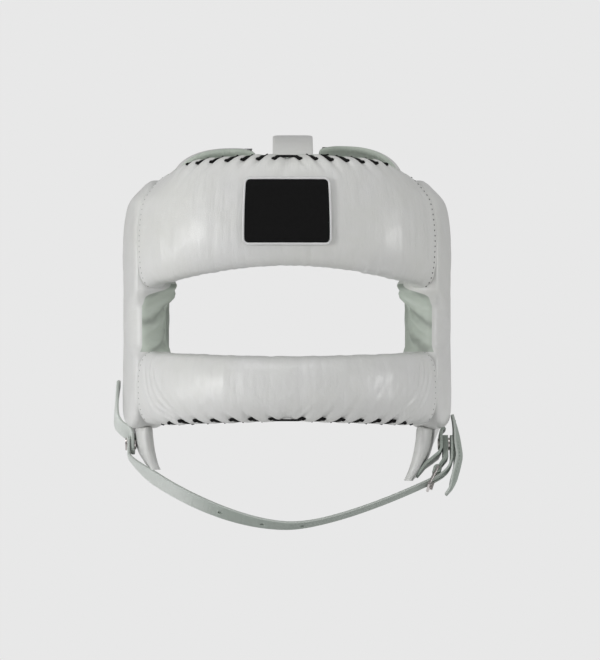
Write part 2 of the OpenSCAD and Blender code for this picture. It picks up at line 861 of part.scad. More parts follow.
// The lace runs back and forth under the strap, from eyelet to eyelet
module crown_lace() {
    over = 2.1;
    count = len(crown_eyelet_rows);
    route = [for (i = [0 : count - 1])
        let (
            y = crown_eyelet_rows[i],
            side = i % 2 == 0 ? 1 : -1,
            z = crown_eyelet_z(y) + crown_flap_t / 2 + crown_seat + over
        )
        each [
            [-side * (crown_eyelet_x + 1), y - (i == 0 ? 4 : 6), z],
            [-side * crown_eyelet_x, y - 1, z],
            [0, y, z + 0.4],
            [side * crown_eyelet_x, y + 1, z],
            [side * (crown_eyelet_x + 1), y + 5, z]
        ]];
    round_lace(route, 2.4);
}

// Chin strap and what hangs with it, drawn hanging straight down from the pivots and then leaned
module hanging() {
    translate([0, -pivot_fwd, pivot_z])
        rotate([-strap_lean, 0, 0])
            children();
}

leather_gap = 0.3;
// How far inside the outside of the side padding the straps' leather lies
pivot_tuck = 11.6;
anchor_x = head_w / 2 + side_t - pivot_tuck;
tab_t = 2.4;
tab_x = anchor_x + tab_t / 2;
strap_x = tab_x + tab_t / 2 + leather_gap + strap_t / 2;
// The padding's outside is this much further out round the tab than straight beside the head
side_swell = 1.35;
side_reach = pivot_tuck + seat_gap + side_swell;
rivet_head_t = 1;
buckle_heel = [strap_x - 5.7, -19.2];
buckle_nose = [strap_x - 11.9, -31];
free_end_x = strap_x + 4.9;

strap_low = [2, -strap_drop];
strap_rise = [strap_x - 8.2, -26];
strap_left = [[-strap_x, -9], [8.7 - strap_x, -22], [-0.41 * strap_x, -strap_drop + 0.2], strap_low];
strap_right = [strap_low, [0.25 * strap_x, -strap_drop + 0.3], [0.65 * strap_x, -41], strap_rise];
strap_free = [strap_rise, [strap_x - 0.2, -22], [free_end_x, -18], [free_end_x, -8]];
function strap_points() = concat(
    [[-strap_x, 5.2], [-strap_x, 3.2], [-strap_x, 0]],
    [for (i = [0 : 9]) bezier(strap_left, i / 9)],
    [for (i = [1 : 8]) bezier(strap_right, i / 8)],
    [for (i = [1 : 6]) bezier(strap_free, i / 6)],
    [[free_end_x, 2], [free_end_x, 6]]
);

// The strap twists a little more towards the front on its left side
function strap_twist(x) = x > 20 ? 0 : 12 * pow(sin(min(max((20 - x) / 110, 0), 1) * 180), 1);
function strap_narrow(i, n) = i == 0 ? 0.4 : i == n - 1 ? 0.55 : i == 1 ? 0.75 : 1;

module strap_band() {
    points = strap_points();
    n = len(points);
    loft([for (i = [0 : n - 1])
        let (
            d = unit(points[min(i + 1, n - 1)] - points[max(i - 1, 0)]),
            twist = strap_twist(points[i][0]),
            face = [d[1], 0, -d[0]],
            wide = [0, 1, 0] * cos(twist) - face * sin(twist),
            up = face * cos(twist) + [0, 1, 0] * sin(twist),
            half = strap_w / 2 * strap_narrow(i, n)
        )
        [for (c = [[-1, -1], [1, -1], [1, 1], [-1, 1]])
            [points[i][0], 0, points[i][1]] + wide * (c[0] * half) + up * (c[1] * strap_t / 2)]]);
}

function strap_slope(curve, t) =
    let (d = bezier(curve, min(t + 0.01, 1)) - bezier(curve, max(t - 0.01, 0))) atan2(d[1], d[0]);

module strap_hole(curve, t) {
    p = bezier(curve, t);
    translate([p[0], 0, p[1]])
        rotate([0, -strap_slope(curve, t), 0])
            rotate([strap_twist(p[0]), 0, 0])
                translate([0, 0, -3 * strap_t])
                    cylinder(d = hole_d, h = 6 * strap_t);
}

slot_length = 10;
slot_centre = [strap_x - 5.8, -24.7];
module strap_slot() {
    translate([slot_centre[0], 0, slot_centre[1]])
        rotate([0, -30, 0])
            cube([slot_length, prong_t + 1.2, 4 * strap_t], center = true);
}

module chin_strap() {
    color(strap_leather)
        hanging()
            difference() {
                strap_band();
                strap_hole(strap_left, 0.8);
                strap_hole(strap_right, 0.12);
                strap_hole(strap_right, 0.42);
                strap_slot();
                translate([-strap_x - strap_t, 0, 0])
                    rotate([0, right_angle, 0])
                        cylinder(d = rivet_d + 2 * turn_gap, h = 2 * strap_t);
            }
}

// Left anchor: a tab that hangs from the outside of the side pad, turns to its face and ends flat
// round the rivet. Each row is the distance outwards from the pivot's plane, the distance behind
// the pivot, the height above it and the turn of the face towards the front.
tab_rows = [
    [side_reach - 0.7, 39, 41.5, 4], [side_reach, 36, 38, 5], [side_reach, 22, 27, 10],
    [side_reach - 0.4, 13, 19.5, 12], [side_reach - 1.6, 8.4, 14.6, 9], [side_reach - 6, 5.2, 9.8, 4],
    [0, 3, 6.8, 0], [0, 1, 2, 0], [0, -0.5, -4.8, 0], [0, -1, -6.4, 0]
];
tab_widths = [0.5, 1, 1, 1, 1, 1, 1, 1, 0.9, 0.5];
module strap_tab() {
    n = len(tab_rows);
    at = function(i) [-tab_x - tab_rows[i][0], tab_rows[i][1] - pivot_fwd, tab_rows[i][2] + pivot_z];
    color(strap_leather)
        difference() {
            strip([for (i = [0 : n - 1])
                let (
                    along = unit(at(min(i + 1, n - 1)) - at(max(i - 1, 0))),
                    turn = tab_rows[i][3],
                    across = unit(cross([-cos(turn), -sin(turn), 0], along))
                )
                [at(i), across * tab_widths[i], unit(cross(along, across))]], strap_w, tab_t);
            translate([-tab_x - tab_t, -pivot_fwd, pivot_z])
                rotate([0, right_angle, 0])
                    cylinder(d = rivet_d, h = 2 * tab_t);
        }
}

module rivet(length) {
    cylinder(d = rivet_head_d - 1, h = rivet_head_t);
    cylinder(d = rivet_d, h = length + 2 * rivet_head_t);
    translate([0, 0, rivet_head_t + length])
        cylinder(d = rivet_head_d, h = rivet_head_t);
}

module tab_rivet() {
    stack = tab_t + leather_gap + strap_t + 2 * leather_gap;
    color(metal)
        translate([-tab_x + tab_t / 2 + rivet_head_t, -pivot_fwd, pivot_z])
            rotate([0, -right_angle, 0])
                rivet(stack);
}

// Right anchor: a backing tongue against the jaw, the loop that holds the buckle, and an outer guard
backing_t = 2;
backing_x = anchor_x + backing_t / 2;
loop_in = backing_x + backing_t / 2 + leather_gap;
loop_out = loop_in + 2 * loop_t;
module buckle_backing() {
    spine = [[backing_x + 3.3, 11], [backing_x + 0.6, 9.2], [backing_x, 7.6], [backing_x, -4.8],
        [backing_x - 1.8, -8.2], [backing_x - 6, -11.6], [backing_x - 11.2, -15.6], [backing_x - 14.8, -20.2],
        [backing_x - 17.2, -23.4]];
    widths = [9, 15, 19, 21, 20, 18, 16, 13, 8];
    n = len(spine);
    color(strap_leather)
        hanging()
            difference() {
                loft([for (i = [0 : n - 1])
                    let (d = unit(spine[min(i + 1, n - 1)] - spine[max(i - 1, 0)]))
                    [for (c = [[-1, -1], [1, -1], [1, 1], [-1, 1]])
                        [spine[i][0] - d[1] * c[1] * backing_t / 2, c[0] * widths[i] / 2,
                            spine[i][1] + d[0] * c[1] * backing_t / 2]]]);
                translate([backing_x - backing_t, 0, 0])
                    rotate([0, right_angle, 0])
                        cylinder(d = rivet_d, h = 2 * backing_t);
            }
}

heel_r = wire_d / 2;
loop_r = heel_r + 0.1 + loop_t;
loop_tilt = 35;
loop_top = 4.8;
loop_arms = -11;
function heel_side(r) = r * [cos(loop_tilt), sin(loop_tilt)];

module buckle_loop() {
    slot = prong_t + 1.6;
    fold = loop_in + loop_t;
    color(strap_leather)
        hanging()
            difference() {
                rotate([right_angle, 0, 0])
                    difference() {
                        union() {
                            linear_extrude(loop_w, center = true)
                                polygon([[loop_in, loop_top], [loop_out, loop_top], [loop_out, loop_arms],
                                    buckle_heel + heel_side(0.97 * loop_r),
                                    buckle_heel - heel_side(0.97 * loop_r),
                                    [loop_in, loop_arms]]);
                            translate(buckle_heel) cylinder(r = loop_r, h = loop_w, center = true);
                        }
                        translate(buckle_heel) cylinder(r = heel_r + 0.1, h = loop_w + 2, center = true);
                        linear_extrude(loop_w + 2, center = true)
                            polygon([[fold - 0.05, loop_arms - 1], [fold + 0.05, loop_arms - 1],
                                buckle_heel + heel_side(heel_r), buckle_heel - heel_side(heel_r)]);
                    }
                translate([loop_in - 8, -slot / 2, -30]) cube([16, slot, 16]);
                translate([loop_in - 1, 0, 0])
                    rotate([0, right_angle, 0])
                        cylinder(d = rivet_d + 2 * turn_gap, h = loop_out - loop_in + 2);
            }
}

module loop_rivet() {
    stack = backing_t + leather_gap + loop_out - loop_in + leather_gap;
    color(metal)
        translate([backing_x - backing_t / 2 - rivet_head_t, -pivot_fwd, pivot_z])
            rotate([0, right_angle, 0])
                rivet(stack);
}

frame_half = strap_w / 2 + buckle_gap + wire_d / 2;
function heel_to_nose() = buckle_nose - buckle_heel;
module buckle_frame() {
    length = norm(heel_to_nose());
    tilt = atan2(heel_to_nose()[0], -heel_to_nose()[1]);
    color(metal)
        hanging() {
            for (at = [buckle_heel, buckle_nose])
                translate([at[0], -frame_half - wire_d / 2, at[1]])
                    rotate([-right_angle, 0, 0])
                        cylinder(d = wire_d, h = 2 * frame_half + wire_d);
            for (side = [-1, 1])
                translate([buckle_heel[0], side * frame_half, buckle_heel[1]])
                    rotate([0, -tilt, 0])
                        translate([0, 0, -length])
                            cylinder(d = wire_d - 0.2, h = length);
        }
}

prong_gap = 0.06;
prong_length = 14.5;
module buckle_prong() {
    rest = 2.4;
    tip = buckle_nose + [0.885, -0.466] * (heel_r + prong_t / 2 + 0.15);
    d = unit(tip - buckle_heel);
    tilt = atan2(d[0], -d[1]);
    color(metal)
        hanging()
            translate([buckle_heel[0], 0, buckle_heel[1]])
                rotate([0, -tilt, 0])
                    difference() {
                        union() {
                            rotate([right_angle, 0, 0])
                                cylinder(r = rest, h = prong_t, center = true);
                            translate([-prong_t / 2, -prong_t / 2, -prong_length])
                                cube([prong_t, prong_t, prong_length]);
                        }
                        rotate([right_angle, 0, 0])
                            cylinder(r = heel_r + prong_gap, h = 3 * prong_t, center = true);
                    }
}

module buckle_guard() {
    guard_t = 2.2;
    at = free_end_x;
    spine = [[at + 0.9, 21], [at + 1.9, 16], [at + 3, 11], [at + 4.2, 4], [at + 5.1, -4], [at + 5.7, -11],
        [at + 4.5, -17.5], [at + 2.5, -24.5], [at - 0.7, -31.5], [at - 4.6, -36.5]];
    widths = [5, 11, 17, 23, 28, 30, 28, 22, 14, 6];
    n = len(spine);
    color(strap_leather)
        hanging()
            loft([for (i = [0 : n - 1])
                let (d = unit(spine[min(i + 1, n - 1)] - spine[max(i - 1, 0)]))
                [for (c = [[-1, -1], [0, -0.4], [1, -1], [1, 1], [0, 1.6], [-1, 1]])
                    [spine[i][0] - d[1] * c[1] * guard_t / 2, c[0] * widths[i] / 2,
                        spine[i][1] + d[0] * c[1] * guard_t / 2]]]);
}

brow_cover();
brow_foam();
brow_lining();
brow_lace();
brow_patch();
bar_cover();
bar_foam();
bar_rod();
bar_lace();
side_cover_left();
side_foam_left();
side_lining_left();
side_cover_right();
side_foam_right();
side_lining_right();
jaw_flap_left();
jaw_foam_left();
jaw_flap_right();
jaw_foam_right();
back_pad_left();
back_foam_left();
back_pad_right();
back_foam_right();
nape_pad_left();
nape_foam_left();
nape_pad_right();
nape_foam_right();
back_facing_left();
back_facing_right();
nape_facing_left();
nape_facing_right();
back_eyelets();
nape_eyelets();
back_lace();
nape_lace();
back_tongue();
nape_tongue();
crown_strap();
crown_flap_left();
crown_flap_right();
crown_eyelets();
crown_lace();
strap_tab();
tab_rivet();
chin_strap();
buckle_backing();
buckle_guard();
buckle_loop();
loop_rivet();
buckle_frame();
buckle_prong();
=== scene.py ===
import math
import bpy
import bmesh
import numpy as np
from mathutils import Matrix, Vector


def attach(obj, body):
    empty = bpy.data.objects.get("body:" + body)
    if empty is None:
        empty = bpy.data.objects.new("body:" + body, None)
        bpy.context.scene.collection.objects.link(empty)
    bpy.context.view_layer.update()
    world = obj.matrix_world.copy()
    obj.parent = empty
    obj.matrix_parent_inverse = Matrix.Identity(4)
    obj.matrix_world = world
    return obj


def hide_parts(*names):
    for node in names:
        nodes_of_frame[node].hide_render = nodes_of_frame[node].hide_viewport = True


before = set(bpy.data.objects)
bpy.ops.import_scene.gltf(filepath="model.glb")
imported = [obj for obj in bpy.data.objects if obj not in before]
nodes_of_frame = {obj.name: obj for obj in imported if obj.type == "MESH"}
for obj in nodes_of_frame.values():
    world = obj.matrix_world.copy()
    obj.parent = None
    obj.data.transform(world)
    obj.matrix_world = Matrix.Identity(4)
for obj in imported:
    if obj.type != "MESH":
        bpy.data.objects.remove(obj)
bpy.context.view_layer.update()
scene = bpy.context.scene

# Sizes of the headgear in millimetres, as in the part's source
HEAD_W = 176
HEAD_FRONT = 106
HEAD_BACK = 100
HEAD_POWER = 3.2
OUTER_POWER = 2.6
LEAN_IN = 9
LEAN_FROM = 40
LEAN_SPAN = 60
SIDE_T = 31
BROW_T = 32
BROW_LOW = 28
BROW_ARCH = 11
CORNER_DIP = 4
BROW_HIGH = 105
BROW_DROP = 8
SEAM_ANGLE = 50
SEAM_FILL = 0.22
BAR_HIGH = 31
BAR_H = 45
BAR_FLARE = 4
BAR_REACH = 14
BAR_T = 38
SIDE_REAR = 121
SIDE_HIGH = 98
SIDE_LOW = 85
EAR_ANGLE = 92
EAR_DROP = 8
EAR_W = 30
EAR_H = 50
PAD_GAP = 0.4
SKIN = 1.6
LACE_W = 2.5
LACE_T = 1.3
FLAP_FRONT = 55
FLAP_W = 70
FLAP_TIP_W = 24
FLAP_T = 11
FLAP_BULGE = 9
FLAP_TUCK = 4
BACK_OPEN = 16
BACK_T = 15
CROWN_HIGH = 124.5
MM_PER_DEGREE = 1.95
PIVOT_DROP = 95
PIVOT_FWD = 48
STRAP_LEAN = 17
STRAP_DROP = 58.8
STRAP_W = 17
STRAP_T = 2.2

# The photograph's frame and camera
PHOTO_H = 660
PHOTO_CENTRE_X = 300
OBJECT_CENTRE_X = 287
CAMERA_DISTANCE = 1.8
CAMERA_HEIGHT = -0.0145
LENS = 135.4
SENSOR = 36
BACKGROUND = 0.807
FLOOR_Z = -0.42
FLOOR_HALF = 12
WORLD_STRENGTH = 0.34
LIGHTS = {
    "key": ((-1.7, -1.45, 0.15), (0, 0, 0), (0.6, 0.6), 16),
    "left": ((-2.0, -0.6, -0.35), (0, 0, -0.05), (0.7, 0.7), 10),
    "fill": ((2.0, -0.85, 0.15), (0, 0, 0), (0.45, 0.5), 11),
    "top": ((-0.2, -0.9, 1.8), (0, 0, 0), (1.2, 1.0), 9)}

MM = 0.001
GUARD = "guard"
STRAP = "chin_strap"
SIDES = ("left", "right")


def linear(r, g, b):
    """Linear colour of a screen colour from 0 to 255."""
    shares = (r / 255, g / 255, b / 255)
    return tuple(c / 12.92 if c <= 0.04045 else ((c + 0.055) / 1.055) ** 2.4 for c in shares)


# Shape rules, all in millimetres and degrees
def bend(value, power):
    return np.sign(value) * np.abs(value) ** (2 / power)


def mix(a, b, k):
    return a + (b - a) * k


def smooth(low, high, value):
    k = np.clip((value - low) / (high - low), 0, 1)
    return k * k * (3 - 2 * k)


def sin_d(degrees):
    return np.sin(np.radians(degrees))


def cos_d(degrees):
    return np.cos(np.radians(degrees))


def plan_radius(phi, half_w, half_l, power):
    return ((np.abs(sin_d(phi)) / half_w) ** power + (np.abs(cos_d(phi)) / half_l) ** power) ** (-1 / power)


def around(phi, z, share):
    """Point at an angle round the head, at a height and at a share of the padding's thickness."""
    lean = LEAN_IN * (np.maximum(z - LEAN_FROM, 0) / LEAN_SPAN) ** 2
    length = np.where(cos_d(phi) < 0, HEAD_BACK, HEAD_FRONT)
    inner = plan_radius(phi, HEAD_W / 2 - lean, length - lean, HEAD_POWER)
    outer = plan_radius(phi, HEAD_W / 2 + SIDE_T - lean, length + BROW_T - lean, OUTER_POWER)
    r = inner + share * (outer - inner)
    return np.stack(np.broadcast_arrays(r * sin_d(phi), -r * cos_d(phi), z), axis=-1)


def bezier(p, t):
    p = np.array(p, float)
    t = np.asarray(t)[..., None]
    return (1 - t) ** 3 * p[0] + 3 * t * (1 - t) ** 2 * p[1] + 3 * t * t * (1 - t) * p[2] + t ** 3 * p[3]


def even_turns(count, half_a, half_b, power):
    """Turns of a soft rectangle's section that are evenly spaced along it, symmetric about zero."""
    t = np.linspace(0, 360, 3601)
    x = half_a * bend(cos_d(t), power)
    y = half_b * bend(sin_d(t), power)
    run = np.concatenate([[0], np.cumsum(np.hypot(np.diff(x), np.diff(y)))])
    return np.interp((np.arange(count) + 0.5) / count * run[-1], run, t)


def unit(v):
    return v / np.maximum(np.linalg.norm(v, axis=-1, keepdims=True), 1e-9)


def travelled(points):
    """Length along a row of points up to each of them."""
    return np.concatenate([[0], np.cumsum(np.linalg.norm(np.diff(points, axis=0), axis=1))])


def eased(values, passes):
    """A row of values or points, its inner ones drawn towards their neighbours."""
    for _ in range(passes):
        values[1:-1] = (values[:-2] + 2 * values[1:-1] + values[2:]) / 4
    return values


def new_object(name, data):
    obj = bpy.data.objects.new(name, data)
    scene.collection.objects.link(obj)
    return obj


def final_mesh(obj):
    """The mesh of an object after its modifiers, which are then removed."""
    depsgraph = bpy.context.evaluated_depsgraph_get()
    made = bpy.data.meshes.new_from_object(obj.evaluated_get(depsgraph))
    obj.modifiers.clear()
    return made


def ripple(value, seed):
    """Smooth irregular wave between -1 and 1 that repeats the same each run."""
    waves = np.sin(value + seed) + 0.6 * np.sin(1.71 * value + 2.3 * seed)
    return (waves + 0.4 * np.sin(2.93 * value + 4.1 * seed)) / 2


# Meshes from grids of points
def grid_normals(points, closed_u):
    """Normals of a grid of points that is closed along its second way."""
    if closed_u:
        along = np.roll(points, -1, 0) - np.roll(points, 1, 0)
    else:
        along = np.gradient(points, axis=0)
    return unit(np.cross(along, np.roll(points, -1, 1) - np.roll(points, 1, 1)))


def mean_run(points, axis):
    """Metres along one way of a grid in millimetres, as the mean over its other way."""
    steps = np.linalg.norm(np.diff(points, axis=axis), axis=2).mean(1 - axis)
    return np.concatenate([[0], np.cumsum(steps)]) * MM


def grid_object(name, points, closed_u=False, face_material=None):
    """Mesh object of a grid of points in millimetres that is closed along its second way.

    Its UV map is in metres along both ways. Open ends are capped.
    """
    nu, nv = points.shape[:2]
    faces = []
    corners = []
    materials = []
    run_u = mean_run(points, 0)
    run_v = mean_run(points, 1)
    along_u = np.append(run_u, run_u[-1] + run_u[-1] / (nu - 1))
    along_v = np.append(run_v, run_v[-1] + run_v[-1] / (nv - 1))
    for i in range(nu if closed_u else nu - 1):
        for j in range(nv):
            a = i * nv + j
            b = i * nv + (j + 1) % nv
            c = (i + 1) % nu * nv + (j + 1) % nv
            d = (i + 1) % nu * nv + j
            faces.append((a, d, c, b))
            corners.append(((i, j), (i + 1, j), (i + 1, j + 1), (i, j + 1)))
            materials.append(face_material(i, j) if face_material else 0)
    if not closed_u:
        end = (nu - 1) * nv
        for j in range(nv // 2 - 1):
            faces.append((j, j + 1, nv - 2 - j, nv - 1 - j))
            faces.append((end + j, end + nv - 1 - j, end + nv - 2 - j, end + j + 1))
            corners.append(((0, j), (0, j + 1), (0, nv - 2 - j), (0, nv - 1 - j)))
            corners.append(((nu - 1, j), (nu - 1, nv - 1 - j), (nu - 1, nv - 2 - j), (nu - 1, j + 1)))
            materials += [materials[j], materials[-1]]
    flat = points.reshape(-1, 3) * MM
    spots = [flat[[face[k] for face in faces]] for k in range(4)]
    volume = sum(np.einsum("ij,ij->i", spots[0], np.cross(spots[k], spots[k + 1])).sum() for k in (1, 2))
    if volume < 0:
        faces = [f[::-1] for f in faces]
        corners = [c[::-1] for c in corners]
    mesh = bpy.data.meshes.new(name)
    mesh.from_pydata(flat.tolist(), [], faces)
    uv = mesh.uv_layers.new(name="run")
    flat_uv = [value for face in corners for i, j in face for value in (along_u[i], along_v[j])]
    uv.data.foreach_set("uv", flat_uv)
    mesh.polygons.foreach_set("use_smooth", [True] * len(faces))
    mesh.polygons.foreach_set("material_index", materials)
    return new_object(name, mesh)


def finish_piece(obj, body, slot, *materials, replaces=(), padded=None):
    """Gives a piece its materials, attaches it to the body it rides on and hides the CAD parts it stands
    for.
    """
    for material in materials:
        obj.data.materials.append(material)
    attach(obj, body)
    if replaces:
        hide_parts(*replaces)


def pad_piece(name, points, softness, materials, replaces, closed_u=False, face_material=None):
    """Stuffed piece of the headgear, smoothed once."""
    obj = grid_object(name, points, closed_u, face_material)
    modifier = obj.modifiers.new("smooth", "SUBSURF")
    modifier.levels = 1
    modifier.render_levels = 1
    finish_piece(obj, GUARD, "leather", *materials, replaces=replaces, padded=softness)


def on_side(points, side):
    """Points drawn on the right side, mirrored for the left one."""
    return points * np.array([-1, 1, 1]) if side == "left" else points


def tube(name, path, radius, sides):
    """Round tube of a given radius along points, closed with rounded ends."""
    path = np.array(path, float)
    along = unit(np.gradient(path, axis=0))
    helper = np.array([0.13, 0.21, 1.0])
    side = unit(np.cross(helper, along))
    other = np.cross(along, side)
    turn = np.arange(sides) * 2 * math.pi / sides
    size = np.ones(len(path))
    size[[0, -1]] = 0.35
    size[[1, -2]] = 0.8
    reach = radius * size[:, None, None]
    points = (path[:, None] + side[:, None] * (reach * np.cos(turn)[None, :, None])
              + other[:, None] * (reach * np.sin(turn)[None, :, None]))
    return grid_object(name, points)


def smooth_path(points, step=1.2):
    """Points along a Catmull-Rom curve through chosen ones."""
    p = np.array(points, float)
    p = np.vstack([2 * p[0] - p[1], p, 2 * p[-1] - p[-2]])
    result = []
    for k in range(1, len(p) - 2):
        count = max(int(np.linalg.norm(p[k + 1] - p[k]) / step), 2)
        for t in np.arange(count) / count:
            result.append(0.5 * (2 * p[k] + (p[k + 1] - p[k - 1]) * t
                                 + (2 * p[k - 1] - 5 * p[k] + 4 * p[k + 1] - p[k + 2]) * t * t
                                 + (3 * p[k] - p[k - 1] - 3 * p[k + 1] + p[k + 2]) * t ** 3))
    result.append(p[-2])
    return np.array(result)


BAND_SIDES = 20


def cut_edge(i, j):
    """Second material on a band's two cut edges."""
    return 1 if j % BAND_SIDES in (18, 19, 0, 8, 9, 10) else 0


def leather_band(name, centres, wides, ups, half_widths, thickness, crown=0.0, edges=False):
    """Flat leather strip with rounded edges, from its centres, its two directions and its half widths."""
    turn = (np.arange(BAND_SIDES) + 0.5) * 2 * math.pi / BAND_SIDES
    across = np.sign(np.cos(turn)) * np.abs(np.cos(turn)) ** 0.3
    lift = np.sign(np.sin(turn)) * np.abs(np.sin(turn)) ** 0.55
    half = np.asarray(half_widths, float)[:, None, None]
    rise = np.broadcast_to(crown, len(centres))[:, None] * (1 - across ** 2)[None, :]
    points = (centres[:, None] + wides[:, None] * (half * across[None, :, None])
              + ups[:, None] * (thickness / 2 * lift[None, :] + rise)[..., None])
    return grid_object(name, points, face_material=cut_edge if edges else None)


# Pads: grids of points first, then the stuffing, then the sewn folds
def band_point(phi, t, low, high, inside, outside, inset, power):
    depth = np.linalg.norm(around(phi, 0, 1) - around(phi, 0, 0), axis=-1)
    half = (outside - inside) / 2 - inset / depth
    z = (low + high) / 2 + ((high - low) / 2 - inset) * bend(sin_d(t), power)
    return around(phi, z, (inside + outside) / 2 + half * bend(cos_d(t), power))


BROW_POWER = 3
BROW_SEAM = 74
BROW_STITCHES = 18
BAR_POWER = 2.5
BAR_SEAM = -78
BAR_STITCHES = 17
MIDDLE_STITCH = 3
LACE_STEPS = 6
BAND_END = SEAM_ANGLE + SEAM_FILL


def brow_seam(phi):
    """Turn of the brow's section at its whip lace, which passes over the top towards its ends."""
    return BROW_SEAM + 24 * smooth(26, 42, np.abs(phi))


def bar_seam(phi):
    """Turn of the bar's section at its whip lace, which passes under it towards its ends."""
    return BAR_SEAM - 20 * smooth(32, 44, np.abs(phi))


def brow_floor(phi):
    swing = np.minimum(np.abs(phi) / 42, 1) * 90
    dip = np.maximum(np.abs(phi) / SEAM_ANGLE - 0.82, 0) / 0.18
    return BROW_LOW - BROW_ARCH * (1 - cos_d(swing) ** 1.2) - CORNER_DIP * dip ** 2


def brow_roof(phi):
    return BROW_HIGH - BROW_DROP * (phi / SEAM_ANGLE) ** 2


def brow_point(phi, t, inset=0.0):
    return band_point(phi, t, brow_floor(phi), brow_roof(phi), 0, 1, inset, BROW_POWER)


def bar_swell(phi):
    return cos_d(phi / SEAM_ANGLE * 90) ** 2


def bar_point(phi, t, inset=0.0):
    swell = bar_swell(phi)
    low = -BAR_HIGH - BAR_H - BAR_FLARE * (1 - swell)
    high = -BAR_HIGH + BAR_FLARE / 2 * (1 - swell)
    inside = (1 + (BAR_REACH - BAR_T) / BROW_T) * swell
    return band_point(phi, t, low, high, inside, 1 + BAR_REACH / BROW_T * swell, inset, BAR_POWER)


def lace_pitch(stitches, half_angle):
    """Degrees round the head from one stitch to the next."""
    half = stitches // 2 * LACE_STEPS
    return (half_angle - MIDDLE_STITCH) * LACE_STEPS / (half - 1)


def seam_puckers(phi, across, pitch, slant):
    """Leather drawn in at each stitch and puffed between them, along a slanting whip lace."""
    count = (np.abs(phi) - MIDDLE_STITCH) / pitch + across * slant * 0.05
    from_stitch = np.abs(count - np.round(count))
    groove = np.exp(-(from_stitch / 0.15) ** 2)
    middle = np.clip(np.abs(phi) / MIDDLE_STITCH, 0, 1)
    groove = np.where(np.abs(phi) < MIDDLE_STITCH, mix(1, groove, middle), groove)
    close = np.exp(-(across / 8) ** 2)
    gathers = ripple(2 * math.pi * count * 1.3, 1.7) * np.exp(-np.abs(across) / 18)
    return (1.5 - 3.1 * groove) * close + 0.5 * gathers


side_mid_angle = (SEAM_ANGLE + SIDE_REAR) / 2
side_mid_z = (SIDE_HIGH - SIDE_LOW) / 2
side_half_w = (SIDE_REAR - SEAM_ANGLE) / 2 * MM_PER_DEGREE - PAD_GAP
side_half_h = (SIDE_HIGH + SIDE_LOW) / 2


def side_share(phi):
    return np.where(phi < 100, 1, mix(1, BACK_T / SIDE_T, (phi - 100) / (SIDE_REAR - 100)))


def side_power(alpha, z):
    """Squareness of a side pad's edge: nearly flush along the sewn seams, round beside the eyes."""
    front = np.maximum(-cos_d(alpha), 0) ** 2
    in_slot = smooth(-36, -26, z) * (1 - smooth(2, 16, z))
    return 3 + front * mix(13, 1.2, in_slot)


def side_point(alpha, t, inset=0.0):
    outline = plan_radius(90 - alpha, side_half_w, side_half_h, np.where(cos_d(alpha) < 0, 8, 4))
    hole = plan_radius(90 - alpha, EAR_W / 2, EAR_H / 2, 2)
    edge_phi = side_mid_angle + outline * cos_d(alpha) / MM_PER_DEGREE
    edge_z = side_mid_z + outline * sin_d(alpha)
    lip_phi = EAR_ANGLE + hole * cos_d(alpha) / MM_PER_DEGREE
    lip_z = -EAR_DROP + hole * sin_d(alpha)
    span = np.hypot((edge_phi - lip_phi) * MM_PER_DEGREE, edge_z - lip_z) / 2
    power = np.where(cos_d(t) > 0, side_power(alpha, edge_z), 3)
    along = (1 + bend(cos_d(t), power) * (1 - inset / span)) / 2
    phi = mix(lip_phi, edge_phi, along)
    z = mix(lip_z, edge_z, along)
    share = side_share(phi)
    return around(phi, z, share / 2 + (share / 2 - inset / SIDE_T) * bend(sin_d(t), power))


def flap_point(k, t, stand, length, pull, inset=0.0):
    top = -SIDE_LOW - PAD_GAP
    half_full = mix(FLAP_W / 2, FLAP_TIP_W / 2, k ** 0.7) * (1 - k ** 6) ** 0.5
    z = top - inset - k * (length - 2 * inset) + FLAP_TUCK * (1 - k) ** 4
    half = np.maximum(half_full - inset, 1) / MM_PER_DEGREE
    phi = FLAP_FRONT + half_full / MM_PER_DEGREE + half * bend(cos_d(t), 3)
    swell = np.clip((phi - 74) / 16, 0, 1)
    mid = stand + 1 - pull * k * k + FLAP_BULGE * swell * (1 - k)
    thick = FLAP_T * (1.3 - 0.55 * k * k) / 2 - inset
    return around(phi, z, (mid + thick * bend(sin_d(t), 3)) / SIDE_T)


back_share = BACK_T / BROW_T
BACK_IN = 0.04


def side_edge(z):
    rise = np.minimum(np.abs(z - side_mid_z) / side_half_h, 0.97)
    return side_mid_angle + side_half_w * (1 - rise ** 4) ** 0.25 / MM_PER_DEGREE


def back_point(k, t, low, high, inset=0.0):
    z = (low + high) / 2 + ((high - low) / 2 - inset) * bend(sin_d(t), 3)
    start = side_edge(z) + (PAD_GAP + 0.05 + inset) / MM_PER_DEGREE
    phi = mix(start, 180 - BACK_OPEN - inset / MM_PER_DEGREE, k)
    half = (back_share - BACK_IN) / 2 - inset / BROW_T
    return around(phi, z, (BACK_IN + back_share) / 2 + half * bend(cos_d(t), 3))


PRESSURE = 4.0
LAST_FRAME = 20


